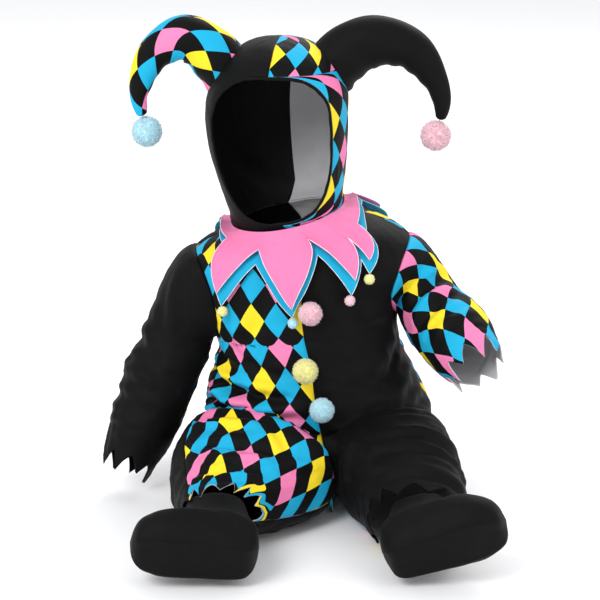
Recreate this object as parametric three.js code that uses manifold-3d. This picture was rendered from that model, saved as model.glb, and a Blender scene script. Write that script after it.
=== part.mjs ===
// Jester costume for an infant, worn and seated: suit, two-layer collar, hood with horns, booties.
// Millimetres, +Z up, the costume faces -Y. "Right" and "left" are the wearer's: right is at -X.
// The seat rests at floor level; the whole costume is then moved so that the origin is where
// the wearer's neck and shoulders hold it.

import * as THREE from "three";
import Module from "manifold-3d";

const wasm = await Module();
wasm.setup();

// Driving dimensions
const HOLD = { x: 0, y: 0, z: 250 };
const CLOTH = 1.5;
const COLLAR_CLOTH = 1.2;
const SEAM_GAP = 0.4;
const HALF_COLUMNS = 14;
const CROTCH_COLUMNS = 8;
const SIDE_COLUMN = HALF_COLUMNS / 2;
const INSEAM_COLUMN = { "-1": HALF_COLUMNS + 3, 1: HALF_COLUMNS + 1 };
const HIP_ROW = 11;
const ARMHOLE_STEPS = 8;
const BOXY = 0.88;
const FLOOR_FLAT = 0.52;

// Torso rings from the neck down. wide, front and back are half sizes; tilt lifts the front,
// lean lifts the wearer's left side for each millimetre of width.
const TORSO = [
  { z: 289, cx: -12, cy: 2, wide: 56, front: 62, back: 46, tilt: -1, lean: 0.2 },
  { z: 280, cx: -6, cy: 2, wide: 75, front: 67, back: 52, tilt: -1, lean: 0.14 },
  { z: 270, cx: 1, cy: 1, wide: 98, front: 71, back: 57, tilt: -1, lean: 0.08 },
  { z: 257, cx: 3, cy: 0, wide: 113, front: 74, back: 61, tilt: 0, lean: 0.05 },
  { z: 238, cx: 3, cy: 0, wide: 115, front: 77, back: 63, tilt: 0, lean: 0.03 },
  { z: 210, cx: 1, cy: 0, wide: 105, front: 79, back: 64, tilt: 0, lean: 0.01 },
  { z: 180, cx: 4, cy: 0, wide: 97, front: 82, back: 66, tilt: 0, lean: 0 },
  { z: 150, cx: 11, cy: 0, wide: 95, front: 86, back: 70, tilt: 0, lean: 0 },
  { z: 124, cx: 14, cy: 0, wide: 104, front: 90, back: 74, tilt: 0, lean: 0 },
  { z: 100, cx: 17, cy: 0, wide: 114, front: 93, back: 80, tilt: 3, lean: 0 },
  { z: 76, cx: 20, cy: 0, wide: 118, front: 93, back: 83, tilt: 12, lean: 0 },
  { z: 48, cx: 22, cy: 0, wide: 117, front: 88, back: 80, tilt: 30, lean: 0 },
];

// Under-body line of the crotch seam, from the centre back to the centre front.
const CROTCH = [
  { x: 22, y: 58, z: 2 },
  { x: 23, y: 30, z: 0 },
  { x: 25, y: -5, z: 0 },
  { x: 28, y: -40, z: 0 },
  { x: 31, y: -76, z: 0 },
  { x: 33, y: -104, z: 3 },
  { x: 31, y: -106, z: 42 },
];

// Leg rings from the thigh to the hem: centre, half sizes, and the turn outwards in degrees.
const LEG_RIGHT = [
  { x: -51, y: -77, z: 53, wide: 74, tall: 53, turn: 25 },
  { x: -48, y: -120, z: 51, wide: 83, tall: 51, turn: 8 },
  { x: -59, y: -158, z: 45, wide: 66, tall: 43, turn: 0 },
  { x: -69, y: -186, z: 44, wide: 50, tall: 34, turn: -5 },
  { x: -76, y: -206, z: 46, wide: 39, tall: 27, turn: -8 },
];
const LEG_LEFT = [
  { x: 93, y: -82, z: 53, wide: 64, tall: 53, turn: 20 },
  { x: 99, y: -124, z: 50, wide: 60, tall: 50, turn: 8 },
  { x: 109, y: -160, z: 46, wide: 55, tall: 46, turn: 0 },
  { x: 111, y: -187, z: 42, wide: 50, tall: 39, turn: -3 },
  { x: 111, y: -208, z: 41, wide: 46, tall: 33, turn: -5 },
];
const LEG_ANGLES = { groin: -40, seat: 215, close: 320 };
const SIDE_SEAM_ANGLES = { "-1": 52, 1: 92 };
const LEG_STATIONS = [0, 0.22, 0.46, 0.72, 1, 1.5, 2, 2.5, 3, 3.5, 4, 4.5, 5];

// Sleeve rings from below the armhole to the cuff: centre and radius.
const SLEEVE_RIGHT = [
  { x: -127, y: -2, z: 158, round: 37 },
  { x: -141, y: -10, z: 126, round: 38 },
  { x: -155, y: -22, z: 92, round: 37.5 },
  { x: -166, y: -34, z: 63, round: 34 },
  { x: -178, y: -46, z: 37, round: 28 },
];
const SLEEVE_LEFT = [
  { x: 129, y: -8, z: 202, round: 33 },
  { x: 141, y: -26, z: 187, round: 37 },
  { x: 156, y: -50, z: 176, round: 39 },
  { x: 167, y: -74, z: 166, round: 36 },
  { x: 175, y: -88, z: 158, round: 31 },
];

// Armholes in rows of the torso table and in columns of the half ring.
const ARMHOLE_RIGHT = { top: 2.7, bottom: 6.6, reach: 2.7 };
const ARMHOLE_LEFT = { top: 2.7, bottom: 5.75, reach: 2.7 };
const ARMHOLE_ROUNDNESS = 0.9;
const ROWS_ABOVE_ARMHOLE = [0, 0.9, 1.8];
const SHARES_BELOW_ARMHOLE = [0.22, 0.42, 0.6, 0.76, 0.89, 1];

// Sleeve cap: shares of its length at each row, and how far it keeps the shoulder's direction.
const CAP_SHARES = [0.2, 0.42, 0.66, 0.85];
const CAP_PULL = 0.8;

// Hood rings from the neck seam up to the crown.
const HOOD = [
  { z: 289, cx: -12, cy: 2, wide: 56, front: 62, back: 46, tilt: -1, lean: 0.2 },
  { z: 301, cx: -14, cy: 2, wide: 58, front: 67, back: 50, tilt: -2, lean: 0.14 },
  { z: 318, cx: -17, cy: 2, wide: 62, front: 70, back: 60, tilt: -1, lean: 0.06 },
  { z: 340, cx: -20, cy: 2, wide: 67, front: 72, back: 70, tilt: 0, lean: 0.02 },
  { z: 366, cx: -22.5, cy: 2, wide: 71, front: 74, back: 77, tilt: 0, lean: 0 },
  { z: 394, cx: -23.5, cy: 2, wide: 72.5, front: 75, back: 80, tilt: 0, lean: 0 },
  { z: 418, cx: -22, cy: 2, wide: 70.5, front: 73, back: 77, tilt: 0, lean: 0 },
  { z: 440, cx: -21, cy: 2, wide: 61, front: 65, back: 66, tilt: 0, lean: 0 },
  { z: 457, cx: -20, cy: 2, wide: 46, front: 50, back: 50, tilt: 0, lean: 0 },
  { z: 468, cx: -20, cy: 2, wide: 26, front: 28, back: 28, tilt: 0, lean: 0 },
  { z: 472, cx: -20, cy: 2, wide: 0, front: 0, back: 0, tilt: 0, lean: 0 },
];

// Face opening: its rows, half angle, turn to the wearer's right, and how square its ends are.
const FACE = { bottom: 0.55, top: 7.15, halfAngle: 57, steps: 12, squareTop: 2.7, squareChin: 2.1 };
const FACE_TURN = { degrees: -8, rows: 1.5 };
const ROWS_ABOVE_FACE = [7.6, 8.3, 9.1, 10];

// Stuffed horns: centre line and radius, the first row inside the hood.
const HORN_RIGHT = [
  { x: -48, y: 4, z: 410, round: 27 },
  { x: -76, y: 4, z: 441, round: 28 },
  { x: -100, y: 3, z: 464, round: 24.5 },
  { x: -119, y: 2, z: 470, round: 23 },
  { x: -139, y: 0, z: 461, round: 19 },
  { x: -153, y: -2, z: 444, round: 15 },
  { x: -160, y: -3, z: 427, round: 12 },
  { x: -162.5, y: -4, z: 412, round: 9 },
  { x: -161, y: -4, z: 400, round: 7 },
  { x: -159, y: -4, z: 392, round: 4.5 },
];
const HORN_LEFT = [
  { x: 8, y: 4, z: 410, round: 27 },
  { x: 34, y: 4, z: 443, round: 29 },
  { x: 63, y: 3, z: 464, round: 27 },
  { x: 87, y: 2, z: 467, round: 24.5 },
  { x: 107, y: 0, z: 461, round: 21.5 },
  { x: 124, y: -2, z: 447, round: 17.5 },
  { x: 136, y: -3, z: 429, round: 13 },
  { x: 142.5, y: -4, z: 411, round: 10 },
  { x: 143, y: -4, z: 397, round: 7.5 },
  { x: 141, y: -4, z: 388, round: 4.5 },
];
const HORN_DEPTH = 0.92;
const HORN_SIDES = 14;
const HEAD_GROWTH = 0.8;
const CROWN_CAP = { round: 2, rise: 0.6 };
const BINDING = { wide: 3.6, gap: 0.3, thick: 2.4, proud: 0.4 };

// Collar petals: angle of the tip, of the valley after it, the rows that both reach, and the
// pompom's hue. The two short ones lie on the shoulders and have none.
const PETALS = [
  { tip: -43.5, pinkTip: 4.45, blueTip: 4.95, valley: -21, pinkValley: 1.95, blueValley: 3, hue: "yellow" },
  { tip: -3.4, pinkTip: 4.9, blueTip: 5.22, valley: 6, pinkValley: 1.3, blueValley: 2.5, hue: "blue" },
  { tip: 22.5, pinkTip: 3.95, blueTip: 4.5, valley: 26.5, pinkValley: 1.75, blueValley: 3, hue: "pink" },
  { tip: 30.5, pinkTip: 3.12, blueTip: 3.75, valley: 44, pinkValley: 1.25, blueValley: 1.65, hue: "yellow" },
  { tip: 80, pinkTip: 0.5, blueTip: 0.7, valley: 108, pinkValley: 0.45, blueValley: 0.65, hue: "" },
  { tip: 134, pinkTip: 2.2, blueTip: 2.8, valley: 152, pinkValley: 1.4, blueValley: 2, hue: "blue" },
  { tip: 172, pinkTip: 3.9, blueTip: 4.5, valley: 194, pinkValley: 1.7, blueValley: 2.3, hue: "pink" },
  { tip: 216, pinkTip: 3.3, blueTip: 3.9, valley: 240, pinkValley: 1.1, blueValley: 1.5, hue: "yellow" },
  { tip: 274, pinkTip: 0.5, blueTip: 0.7, valley: 311, pinkValley: 1.4, blueValley: 1.85, hue: "" },
];
const PETAL_COLUMNS = 6;
const COLLAR_ROWS = 5;
const ROW_STEP = 0.05;
const BLUE_LIFT = { near: 2.6, far: 5 };
const PINK_LIFT = { near: 5.1, far: 6.8 };

// Pompoms: pile radius. Core is the share of the radius at the roots of the locks, shoulder the
// share where they narrow to a point.
const POMPOM_CORE = 0.74;
const LOCK = { narrow: 0.34, shoulder: 0.95 };
const POMPOM_STAND = -0.4;
const POMPOM_GAP = -0.35;
const HORN_POMPOM = 17;
const FRONT_POMPOMS = [
  { name: "pompom_front_pink", row: 5.05, column: 0.27, round: 13, hue: "pink" },
  { name: "pompom_front_yellow", row: 7.0, column: -0.17, round: 14, hue: "yellow" },
  { name: "pompom_front_blue", row: 8.6, column: 0.16, round: 13.5, hue: "blue" },
];
const PETAL_POMPOM = 6;

// Fastening strip at the back: rows of the torso, half width in degrees.
const FASTENING = { top: 4.7, bottom: 7.2, rows: 8, halfWidth: 6, lift: 1.6, thick: 1.1 };

// Booties: sections from heel to toe; half sizes across the sole and from sole to instep.
const BOOTIE = [
  { along: 0, across: 0, deep: 0, rise: 27 },
  { along: 3, across: 17, deep: 15, rise: 27 },
  { along: 11, across: 27, deep: 24, rise: 26 },
  { along: 26, across: 32, deep: 28, rise: 28 },
  { along: 48, across: 34, deep: 28, rise: 28 },
  { along: 73, across: 36, deep: 26, rise: 26 },
  { along: 95, across: 34, deep: 23, rise: 23 },
  { along: 111, across: 26, deep: 18, rise: 20 },
  { along: 118, across: 16, deep: 11, rise: 19 },
  { along: 121, across: 0, deep: 0, rise: 19 },
];
const BOOTIE_COLUMNS = 8;
const SOLE_HEIGHT = 27;
const SOLE_SQUARE = 1.25;
const ROWS_BEFORE_ANKLE = [0, 0.8];
const ROWS_AFTER_ANKLE = [5.2, 6.1, 7, 8, 9];
const ANKLE_HOLE = { start: 1.2, end: 4.8, half: 50, steps: 6 };
const SHAFT = { shares: [0, 0.5, 1], level: 1.6, taper: 0.08 };
const BOOTIE_RIGHT = {
  heel: [-38, -268, 35],
  toward: [-0.985, -0.02, 0.1],
  lift: [0.06, 0.93, 0.3],
  ankle: [-76.5, -210, 47.7],
};
const BOOTIE_LEFT = {
  heel: [77, -266, 30],
  toward: [0.88, -0.02, 0.3],
  lift: [-0.05, 0.93, 0.3],
  ankle: [111, -210, 45],
};

// Cuff and hem points: how far the tips and the valleys stand from the ring.
const CUFF_POINTS = { tip: 15, valley: -4 };
const HEM_POINTS = { tip: 11, valley: -3 };

// Largest folds of the suit: a line in space, its half width and its height (below 0, a trough).
// FOLD_ENDS is the share of the height that is left at the ends of the line.
const FOLD_ENDS = 0.45;
const FOLDS = [
  { from: [-92, -40, 104], to: [-10, -96, 96], width: 9, height: 5 },
  { from: [-88, -45, 84], to: [0, -94, 82], width: 8, height: -5 },
  { from: [-80, -50, 128], to: [-30, -90, 112], width: 8, height: 3.5 },
  { from: [120, -30, 108], to: [50, -92, 98], width: 9, height: 4 },
  { from: [122, -35, 86], to: [45, -92, 84], width: 8, height: -4.5 },
  { from: [-20, -80, 232], to: [-60, -66, 168], width: 9, height: -3 },
  { from: [60, -70, 232], to: [84, -52, 160], width: 9, height: -3 },
  { from: [-60, 60, 120], to: [40, 72, 112], width: 9, height: 4 },
  { from: [100, 40, 96], to: [10, 78, 92], width: 8, height: -4.5 },
  { from: [-50, 62, 190], to: [-20, 66, 130], width: 9, height: -3 },
  { from: [-105, -100, 92], to: [10, -132, 84], width: 9, height: 5 },
  { from: [-100, -138, 80], to: [15, -150, 62], width: 8, height: -4.5 },
  { from: [45, -128, 88], to: [140, -112, 84], width: 9, height: 4.5 },
  { from: [55, -160, 70], to: [150, -150, 64], width: 8, height: -4 },
  { from: [-160, -30, 150], to: [-100, -40, 128], width: 8, height: -4 },
  { from: [-170, -10, 118], to: [-116, -48, 98], width: 8, height: 3.5 },
  { from: [-180, -20, 88], to: [-130, -62, 74], width: 7, height: -3.5 },
  { from: [112, -52, 190], to: [172, -30, 186], width: 7, height: -4 },
  { from: [118, -70, 170], to: [184, -46, 176], width: 7, height: 4 },
  { from: [-132, 10, 232], to: [-118, -34, 196], width: 7, height: 3 },
];

const COLOURS = {
  print: 0x3f8fa8,
  black: 0x101012,
  pink: 0xf288b8,
  blue: 0x22b4dc,
  palePink: 0xfbbcc8,
  paleYellow: 0xf1ec7a,
  paleBlue: 0xa8dcea,
};

const radians = (degrees) => (degrees * Math.PI) / 180;
const vec = (x, y, z) => new THREE.Vector3(x, y, z);
const boxy = (value) => Math.sign(value) * Math.abs(value) ** BOXY;

// Cubic through four neighbouring values, at the share between the middle two.
function cubic(a, b, c, d, share) {
  const slopeB = (c - a) / 2;
  const slopeC = (d - b) / 2;
  const s2 = share * share;
  const s3 = s2 * share;
  return (2 * s3 - 3 * s2 + 1) * b + (s3 - 2 * s2 + share) * slopeB
    + (-2 * s3 + 3 * s2) * c + (s3 - s2) * slopeC;
}

// One row of a table at a fractional row number, every column smoothed.
function rowAt(table, at) {
  const last = table.length - 1;
  const low = Math.min(Math.max(Math.floor(at), 0), last - 1);
  const share = at - low;
  const pick = (index) => table[Math.min(Math.max(index, 0), last)];
  const row = {};
  for (const key of Object.keys(table[0])) {
    row[key] = cubic(pick(low - 1)[key], pick(low)[key], pick(low + 1)[key], pick(low + 2)[key], share);
  }
  return row;
}

// A point of a body ring: degrees run from the front centre towards the wearer's left.
function ringPoint(ring, degrees) {
  const sine = Math.sin(radians(degrees));
  const cosine = Math.cos(radians(degrees));
  const depth = cosine > 0 ? ring.front : ring.back;
  const x = ring.wide * boxy(sine);
  return vec(ring.cx + x, ring.cy - depth * boxy(cosine), ring.z + ring.tilt * cosine + ring.lean * x);
}

// The torso at a fractional row, side -1 or 1, and a column from 0 (front) to HALF_COLUMNS (back).
function torsoPoint(side, column, row) {
  return ringPoint(rowAt(TORSO, row), (side * 180 * column) / HALF_COLUMNS);
}

// Angle round a leg ring for a column, from the groin over the outer side and back inside.
function legAngle(side, column) {
  const { groin, seat, close } = LEG_ANGLES;
  const seam = SIDE_SEAM_ANGLES[side];
  if (column <= SIDE_COLUMN) return groin + ((seam - groin) * column) / SIDE_COLUMN;
  if (column <= HALF_COLUMNS) return seam + ((seat - seam) * (column - SIDE_COLUMN)) / SIDE_COLUMN;
  return seat + ((close - seat) * (column - HALF_COLUMNS)) / CROTCH_COLUMNS;
}

function legRingPoint(ring, side, column) {
  const angle = radians(legAngle(side, column));
  const turn = radians(ring.turn);
  const out = ring.wide * boxy(Math.sin(angle));
  const low = Math.cos(angle) < 0;
  const up = ring.tall * (low ? -(Math.abs(Math.cos(angle)) ** FLOOR_FLAT) : boxy(Math.cos(angle)));
  return vec(ring.x + side * out * Math.cos(turn), ring.y + out * Math.sin(turn), ring.z + up);
}

// The closed line where a leg leaves the body: the hip ring outside, the crotch seam inside.
function legTopPoint(side, column) {
  if (column <= HALF_COLUMNS) return torsoPoint(side, column, HIP_ROW);
  const place = column - HALF_COLUMNS;
  if (place >= CROTCH_COLUMNS) return torsoPoint(side, 0, HIP_ROW);
  const { x, y, z } = CROTCH[place - 1];
  return vec(x, y, z);
}

// A leg point: rows count on from the hip, one for each row of the leg table.
function legPoint(side, column, row) {
  const rings = side < 0 ? LEG_RIGHT : LEG_LEFT;
  const control = (index) => {
    if (index > rings.length) return control(rings.length).multiplyScalar(2).sub(control(rings.length - 1));
    if (index > 0) return legRingPoint(rings[index - 1], side, column);
    if (index === 0) return legTopPoint(side, column);
    if (column <= HALF_COLUMNS) return torsoPoint(side, column, HIP_ROW - 1);
    return legTopPoint(side, column).multiplyScalar(2).sub(control(1));
  };
  const low = Math.min(Math.floor(row), rings.length - 1);
  const [a, b, c, d] = [control(low - 1), control(low), control(low + 1), control(low + 2)];
  const share = row - low;
  const point = vec(
    cubic(a.x, b.x, c.x, d.x, share),
    cubic(a.y, b.y, c.y, d.y, share),
    cubic(a.z, b.z, c.z, d.z, share),
  );
  point.z = Math.max(point.z, 0);
  return point;
}

// Height of the folds at a point.
function foldHeight(point) {
  let height = 0;
  for (const fold of FOLDS) {
    const from = vec(...fold.from);
    const line = vec(...fold.to).sub(from);
    const share = THREE.MathUtils.clamp(point.clone().sub(from).dot(line) / line.lengthSq(), 0, 1);
    const away = point.distanceTo(from.addScaledVector(line, share)) / fold.width;
    const swell = FOLD_ENDS + (1 - FOLD_ENDS) * Math.sin(Math.PI * share);
    height += fold.height * swell * Math.exp(-away * away);
  }
  return height;
}

// A surface of joined grids. Points that fall on one place are one point, so that pieces cut
// from it share their seams.
class Skin {
  constructor() {
    this.points = [];
    this.faces = [];
    this.places = new Map();
  }

  place(point) {
    const key = [point.x, point.y, point.z].map((value) => Math.round(value * 1000)).join();
    if (!this.places.has(key)) {
      this.places.set(key, this.points.length);
      this.points.push(point.clone());
    }
    return this.places.get(key);
  }

  // Quads between rows of points; pieceAt(row, column) names the piece of each quad.
  addGrid(rows, pieceAt, flip) {
    const numbers = rows.map((row) => row.map((point) => this.place(point)));
    for (let i = 0; i + 1 < numbers.length; i += 1) {
      for (let j = 0; j + 1 < numbers[i].length; j += 1) {
        const quad = [numbers[i][j], numbers[i + 1][j], numbers[i + 1][j + 1], numbers[i][j + 1]];
        if (flip) quad.reverse();
        this.addFace([quad[0], quad[1], quad[2]], pieceAt(i, j));
        this.addFace([quad[0], quad[2], quad[3]], pieceAt(i, j));
      }
    }
  }

  addFace(corners, piece) {
    if (new Set(corners).size === 3) this.faces.push({ corners, piece });
  }

  normals() {
    const normals = this.points.map(() => vec(0, 0, 0));
    for (const { corners } of this.faces) {
      const [a, b, c] = corners.map((corner) => this.points[corner]);
      const across = b.clone().sub(a).cross(c.clone().sub(a));
      corners.forEach((corner) => normals[corner].add(across));
    }
    return normals.map((normal) => normal.normalize());
  }

  // Moves every point along its normal by height(point).
  raise(height) {
    const normals = this.normals();
    const heights = this.points.map((point) => height(point));
    this.points.forEach((point, number) => point.addScaledVector(normals[number], heights[number]));
  }

  flattenUnderside() {
    this.points.forEach((point) => {
      point.z = Math.max(point.z, 0);
    });
  }
}

// The closed wall of one piece of a skin: its outer face, the same face moved in by the
// thickness, and rims between them. Every edge stands back from the seam by half the gap.
function pieceWall(skin, piece, thickness) {
  const normals = skin.normals();
  const faces = skin.faces.filter((face) => face.piece === piece).map((face) => face.corners);
  const edges = new Set(faces.flatMap(([a, b, c]) => [`${a},${b}`, `${b},${c}`, `${c},${a}`]));
  const ends = [...edges].map((edge) => edge.split(",").map(Number));
  const rim = ends.filter(([a, b]) => !edges.has(`${b},${a}`));
  const after = new Map(rim);
  const before = new Map(rim.map(([a, b]) => [b, a]));
  const used = [...new Set(faces.flat())];
  const number = new Map(used.map((point, place) => [point, place]));
  const outer = used.map((point) => {
    const here = skin.points[point].clone();
    if (!after.has(point)) return here;
    const along = skin.points[after.get(point)].clone().sub(skin.points[before.get(point)]);
    const inward = normals[point].clone().cross(along).normalize();
    return here.addScaledVector(inward, SEAM_GAP / 2);
  });
  const inner = outer.map((point, place) => point.clone().addScaledVector(normals[used[place]], -thickness));
  const count = used.length;
  const triangles = [];
  for (const corners of faces) {
    const [a, b, c] = corners.map((corner) => number.get(corner));
    triangles.push([a, b, c], [a + count, c + count, b + count]);
  }
  for (const [from, to] of rim) {
    const a = number.get(from);
    const b = number.get(to);
    // Both pieces of a seam split their rims along the same diagonal.
    if (from < to) triangles.push([b, a, a + count], [b, a + count, b + count]);
    else triangles.push([b, a, b + count], [a, a + count, b + count]);
  }
  return closedGeometry([...outer, ...inner], triangles);
}

function closedGeometry(points, triangles) {
  const geometry = new THREE.BufferGeometry();
  const flat = points.flatMap((point) => [point.x, point.y, point.z]);
  geometry.setAttribute("position", new THREE.Float32BufferAttribute(flat, 3));
  geometry.setIndex(triangles.flat());
  return geometry;
}

function range(count, value) {
  return Array.from({ length: count + 1 }, (_, index) => value(index));
}

function meanOf(points) {
  return points.reduce((sum, point) => sum.add(point), vec(0, 0, 0)).divideScalar(points.length);
}

const suitPieces = {
  "-1": {
    front: "front_right_print",
    back: "back_right_black",
    sleeve: "sleeve_right_black",
    hood: "hood_right_black",
  },
  1: {
    front: "front_left_black",
    back: "back_left_print",
    sleeve: "sleeve_left_print",
    hood: "hood_left_print",
  },
};

// Rows of the torso on one side, with the armhole's rows set along its oval.
function torsoRows(side) {
  const armhole = side < 0 ? ARMHOLE_RIGHT : ARMHOLE_LEFT;
  const middle = (armhole.top + armhole.bottom) / 2;
  const half = (armhole.bottom - armhole.top) / 2;
  const rows = ROWS_ABOVE_ARMHOLE.map((row) => ({ row, cut: 0 }));
  for (let step = 0; step <= ARMHOLE_STEPS; step += 1) {
    const turn = (Math.PI * step) / ARMHOLE_STEPS;
    const cut = armhole.reach * Math.sin(turn) ** ARMHOLE_ROUNDNESS;
    rows.push({ row: middle - half * Math.cos(turn), cut, hole: true });
  }
  for (const share of SHARES_BELOW_ARMHOLE) {
    rows.push({ row: armhole.bottom + (HIP_ROW - armhole.bottom) * share, cut: 0 });
  }
  return rows;
}

// Front and back of one side above the hip. The rows run from a height that both sides share at
// the centre seams to the armhole's own. Returns the armhole's edge: bottom, front, top, back.
function addTorsoSide(skin, side) {
  const rows = torsoRows(side);
  const other = torsoRows(-side);
  const names = suitPieces[side];
  const panel = (start, end, towardsSide) => rows.map(({ row, cut }, index) => range(SIDE_COLUMN, (place) => {
    const share = place / SIDE_COLUMN;
    const nearSide = towardsSide ? share : 1 - share;
    const shared = (row + other[index].row) / 2;
    const column = THREE.MathUtils.lerp(start(cut), end(cut), share);
    return torsoPoint(side, column, THREE.MathUtils.lerp(shared, row, nearSide));
  }));
  const front = panel(() => 0, (cut) => SIDE_COLUMN - cut, true);
  const back = panel((cut) => SIDE_COLUMN + cut, () => HALF_COLUMNS, false);
  skin.addGrid(front, () => names.front, side < 0);
  skin.addGrid(back, () => names.back, side < 0);
  const holeRows = rows.flatMap(({ hole }, index) => (hole ? [index] : []));
  const upFront = [...holeRows].reverse().map((index) => front[index][SIDE_COLUMN]);
  const downBack = holeRows.slice(1).map((index) => back[index][0]);
  return [...upFront, ...downBack];
}

// A leg: rows closer together near the hip, pointed hem at the end.
function addLeg(skin, side) {
  const names = suitPieces[side];
  const columns = HALF_COLUMNS + CROTCH_COLUMNS;
  const rows = LEG_STATIONS.map((row) => range(columns, (column) => legPoint(side, column % columns, row)));
  const last = rows[rows.length - 1];
  const previous = rows[rows.length - 2];
  rows[rows.length - 1] = last.map((point, column) => {
    const along = point.clone().sub(previous[column]).normalize();
    const reach = column % 2 === 0 ? HEM_POINTS.valley : HEM_POINTS.tip;
    return point.addScaledVector(along, reach);
  });
  const isFront = (column) => column < SIDE_COLUMN || column >= INSEAM_COLUMN[side];
  skin.addGrid(rows, (_, column) => (isFront(column) ? names.front : names.back), side < 0);
}

// Directions across a path, carried along it without twist: up and front at each ring.
function carriedFrames(centres, startUp, startFront) {
  const frames = [];
  let up = startUp.clone();
  let front = startFront.clone();
  centres.forEach((centre, index) => {
    const next = centres[Math.min(index + 1, centres.length - 1)];
    const previous = centres[Math.max(index - 1, 0)];
    const along = next.clone().sub(previous).normalize();
    up = up.addScaledVector(along, -up.dot(along)).normalize();
    front = front.addScaledVector(along, -front.dot(along)).addScaledVector(up, -front.dot(up)).normalize();
    frames.push({ along, up: up.clone(), front: front.clone() });
  });
  return frames;
}

function tubeRing(centre, frame, across, deep, count) {
  return range(count, (place) => {
    const turn = (2 * Math.PI * (place % count)) / count;
    return centre.clone()
      .addScaledVector(frame.up, -across * Math.cos(turn))
      .addScaledVector(frame.front, deep * Math.sin(turn));
  });
}

// A sleeve from the armhole's edge: a rounded cap, then rings down to the pointed cuff.
function addSleeve(skin, side, armholeEdge) {
  const table = side < 0 ? SLEEVE_RIGHT : SLEEVE_LEFT;
  const count = armholeEdge.length - 1;
  const fine = range((table.length - 1) * 2, (index) => rowAt(table, index / 2));
  const centres = fine.map(({ x, y, z }) => vec(x, y, z));
  const outward = vec(side, 0, 0);
  const frames = carriedFrames(centres, vec(side, 0, 0.4).normalize(), vec(0, -1, 0));
  const rings = centres.map((centre, index) => {
    const { round } = fine[index];
    return tubeRing(centre, frames[index], round, round, count);
  });
  const cap = CAP_SHARES.map((share) => armholeEdge.map((start, place) => {
    const end = rings[0][place];
    const pull = start.distanceTo(end) * CAP_PULL;
    const leave = outward.clone().multiplyScalar(pull);
    const arrive = frames[0].along.clone().multiplyScalar(pull);
    const s2 = share * share;
    const s3 = s2 * share;
    return start.clone().multiplyScalar(2 * s3 - 3 * s2 + 1)
      .addScaledVector(leave, s3 - 2 * s2 + share)
      .addScaledVector(end, -2 * s3 + 3 * s2)
      .addScaledVector(arrive, s3 - s2);
  }));
  const cuff = frames[frames.length - 1].along;
  rings[rings.length - 1] = rings[rings.length - 1].map((point, place) => {
    const reach = place % 2 === 0 ? CUFF_POINTS.valley : CUFF_POINTS.tip;
    return point.addScaledVector(cuff, reach);
  });
  skin.addGrid([armholeEdge, ...cap, ...rings], () => suitPieces[side].sleeve, side < 0);
}

// Hood rows: the face opening's rows follow its rounded oval.
function hoodRows() {
  const middle = (FACE.top + FACE.bottom) / 2;
  const half = (FACE.top - FACE.bottom) / 2;
  const rows = [{ row: 0, open: 0 }];
  for (let step = 0; step <= FACE.steps; step += 1) {
    const turn = (Math.PI * step) / FACE.steps;
    const cosine = Math.cos(turn);
    const power = 2 / (cosine > 0 ? FACE.squareChin : FACE.squareTop);
    const row = middle - half * Math.sign(cosine) * Math.abs(cosine) ** power;
    rows.push({ row, open: FACE.halfAngle * Math.abs(Math.sin(turn)) ** power, hole: true });
  }
  ROWS_ABOVE_FACE.forEach((row) => rows.push({ row, open: 0 }));
  return rows;
}

function hoodPoint(side, degrees, row) {
  const turn = FACE_TURN.degrees * Math.min(row / FACE_TURN.rows, 1);
  return ringPoint(rowAt(HOOD, row), side * degrees + turn);
}

// Both halves of the hood. Returns the edge of the face opening, once round.
function addHood(skin) {
  const rows = hoodRows();
  const edges = {};
  for (const side of [-1, 1]) {
    const half = rows.map(({ row, open }) => range(HALF_COLUMNS, (column) => {
      const degrees = open + ((180 - open) * column) / HALF_COLUMNS;
      return hoodPoint(side, degrees, row);
    }));
    skin.addGrid(half, () => suitPieces[side].hood, side > 0);
    edges[side] = rows.flatMap(({ hole }, index) => (hole ? [half[index][0]] : []));
  }
  return [...edges[-1], ...edges[1].slice(1, -1).reverse()];
}

// The binding: a flat band that fills the face opening's edge, four corners at each point.
function bindingGeometry(edge, normals) {
  const { wide, gap, thick, proud } = BINDING;
  const count = edge.length;
  const centre = meanOf(edge);
  const corners = edge.flatMap((point, index) => {
    const along = edge[(index + 1) % count].clone().sub(edge[(index + count - 1) % count]);
    const normal = normals[index];
    const inward = normal.clone().cross(along).normalize();
    if (inward.dot(centre.clone().sub(point)) < 0) inward.negate();
    const at = (reach, lift) => point.clone().addScaledVector(inward, reach).addScaledVector(normal, lift);
    return [at(gap, proud), at(gap + wide, proud), at(gap + wide, proud - thick), at(gap, proud - thick)];
  });
  const triangles = [];
  for (let index = 0; index < count; index += 1) {
    const here = 4 * index;
    const next = 4 * ((index + 1) % count);
    for (let corner = 0; corner < 4; corner += 1) {
      const other = (corner + 1) % 4;
      triangles.push([here + corner, here + other, next + other]);
      triangles.push([here + corner, next + other, next + corner]);
    }
  }
  return outwardGeometry(closedGeometry(corners, triangles));
}

// Turns a closed mesh the right way out.
function outwardGeometry(geometry) {
  const position = geometry.getAttribute("position");
  const index = geometry.getIndex();
  const point = (corner) => new THREE.Vector3().fromBufferAttribute(position, index.getX(corner));
  let volume = 0;
  for (let corner = 0; corner < index.count; corner += 3) {
    volume += point(corner).dot(point(corner + 1).cross(point(corner + 2)));
  }
  if (volume > 0) return geometry;
  for (let corner = 0; corner < index.count; corner += 3) {
    const swap = index.getX(corner + 1);
    index.setX(corner + 1, index.getX(corner + 2));
    index.setX(corner + 2, swap);
  }
  return geometry;
}

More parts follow.
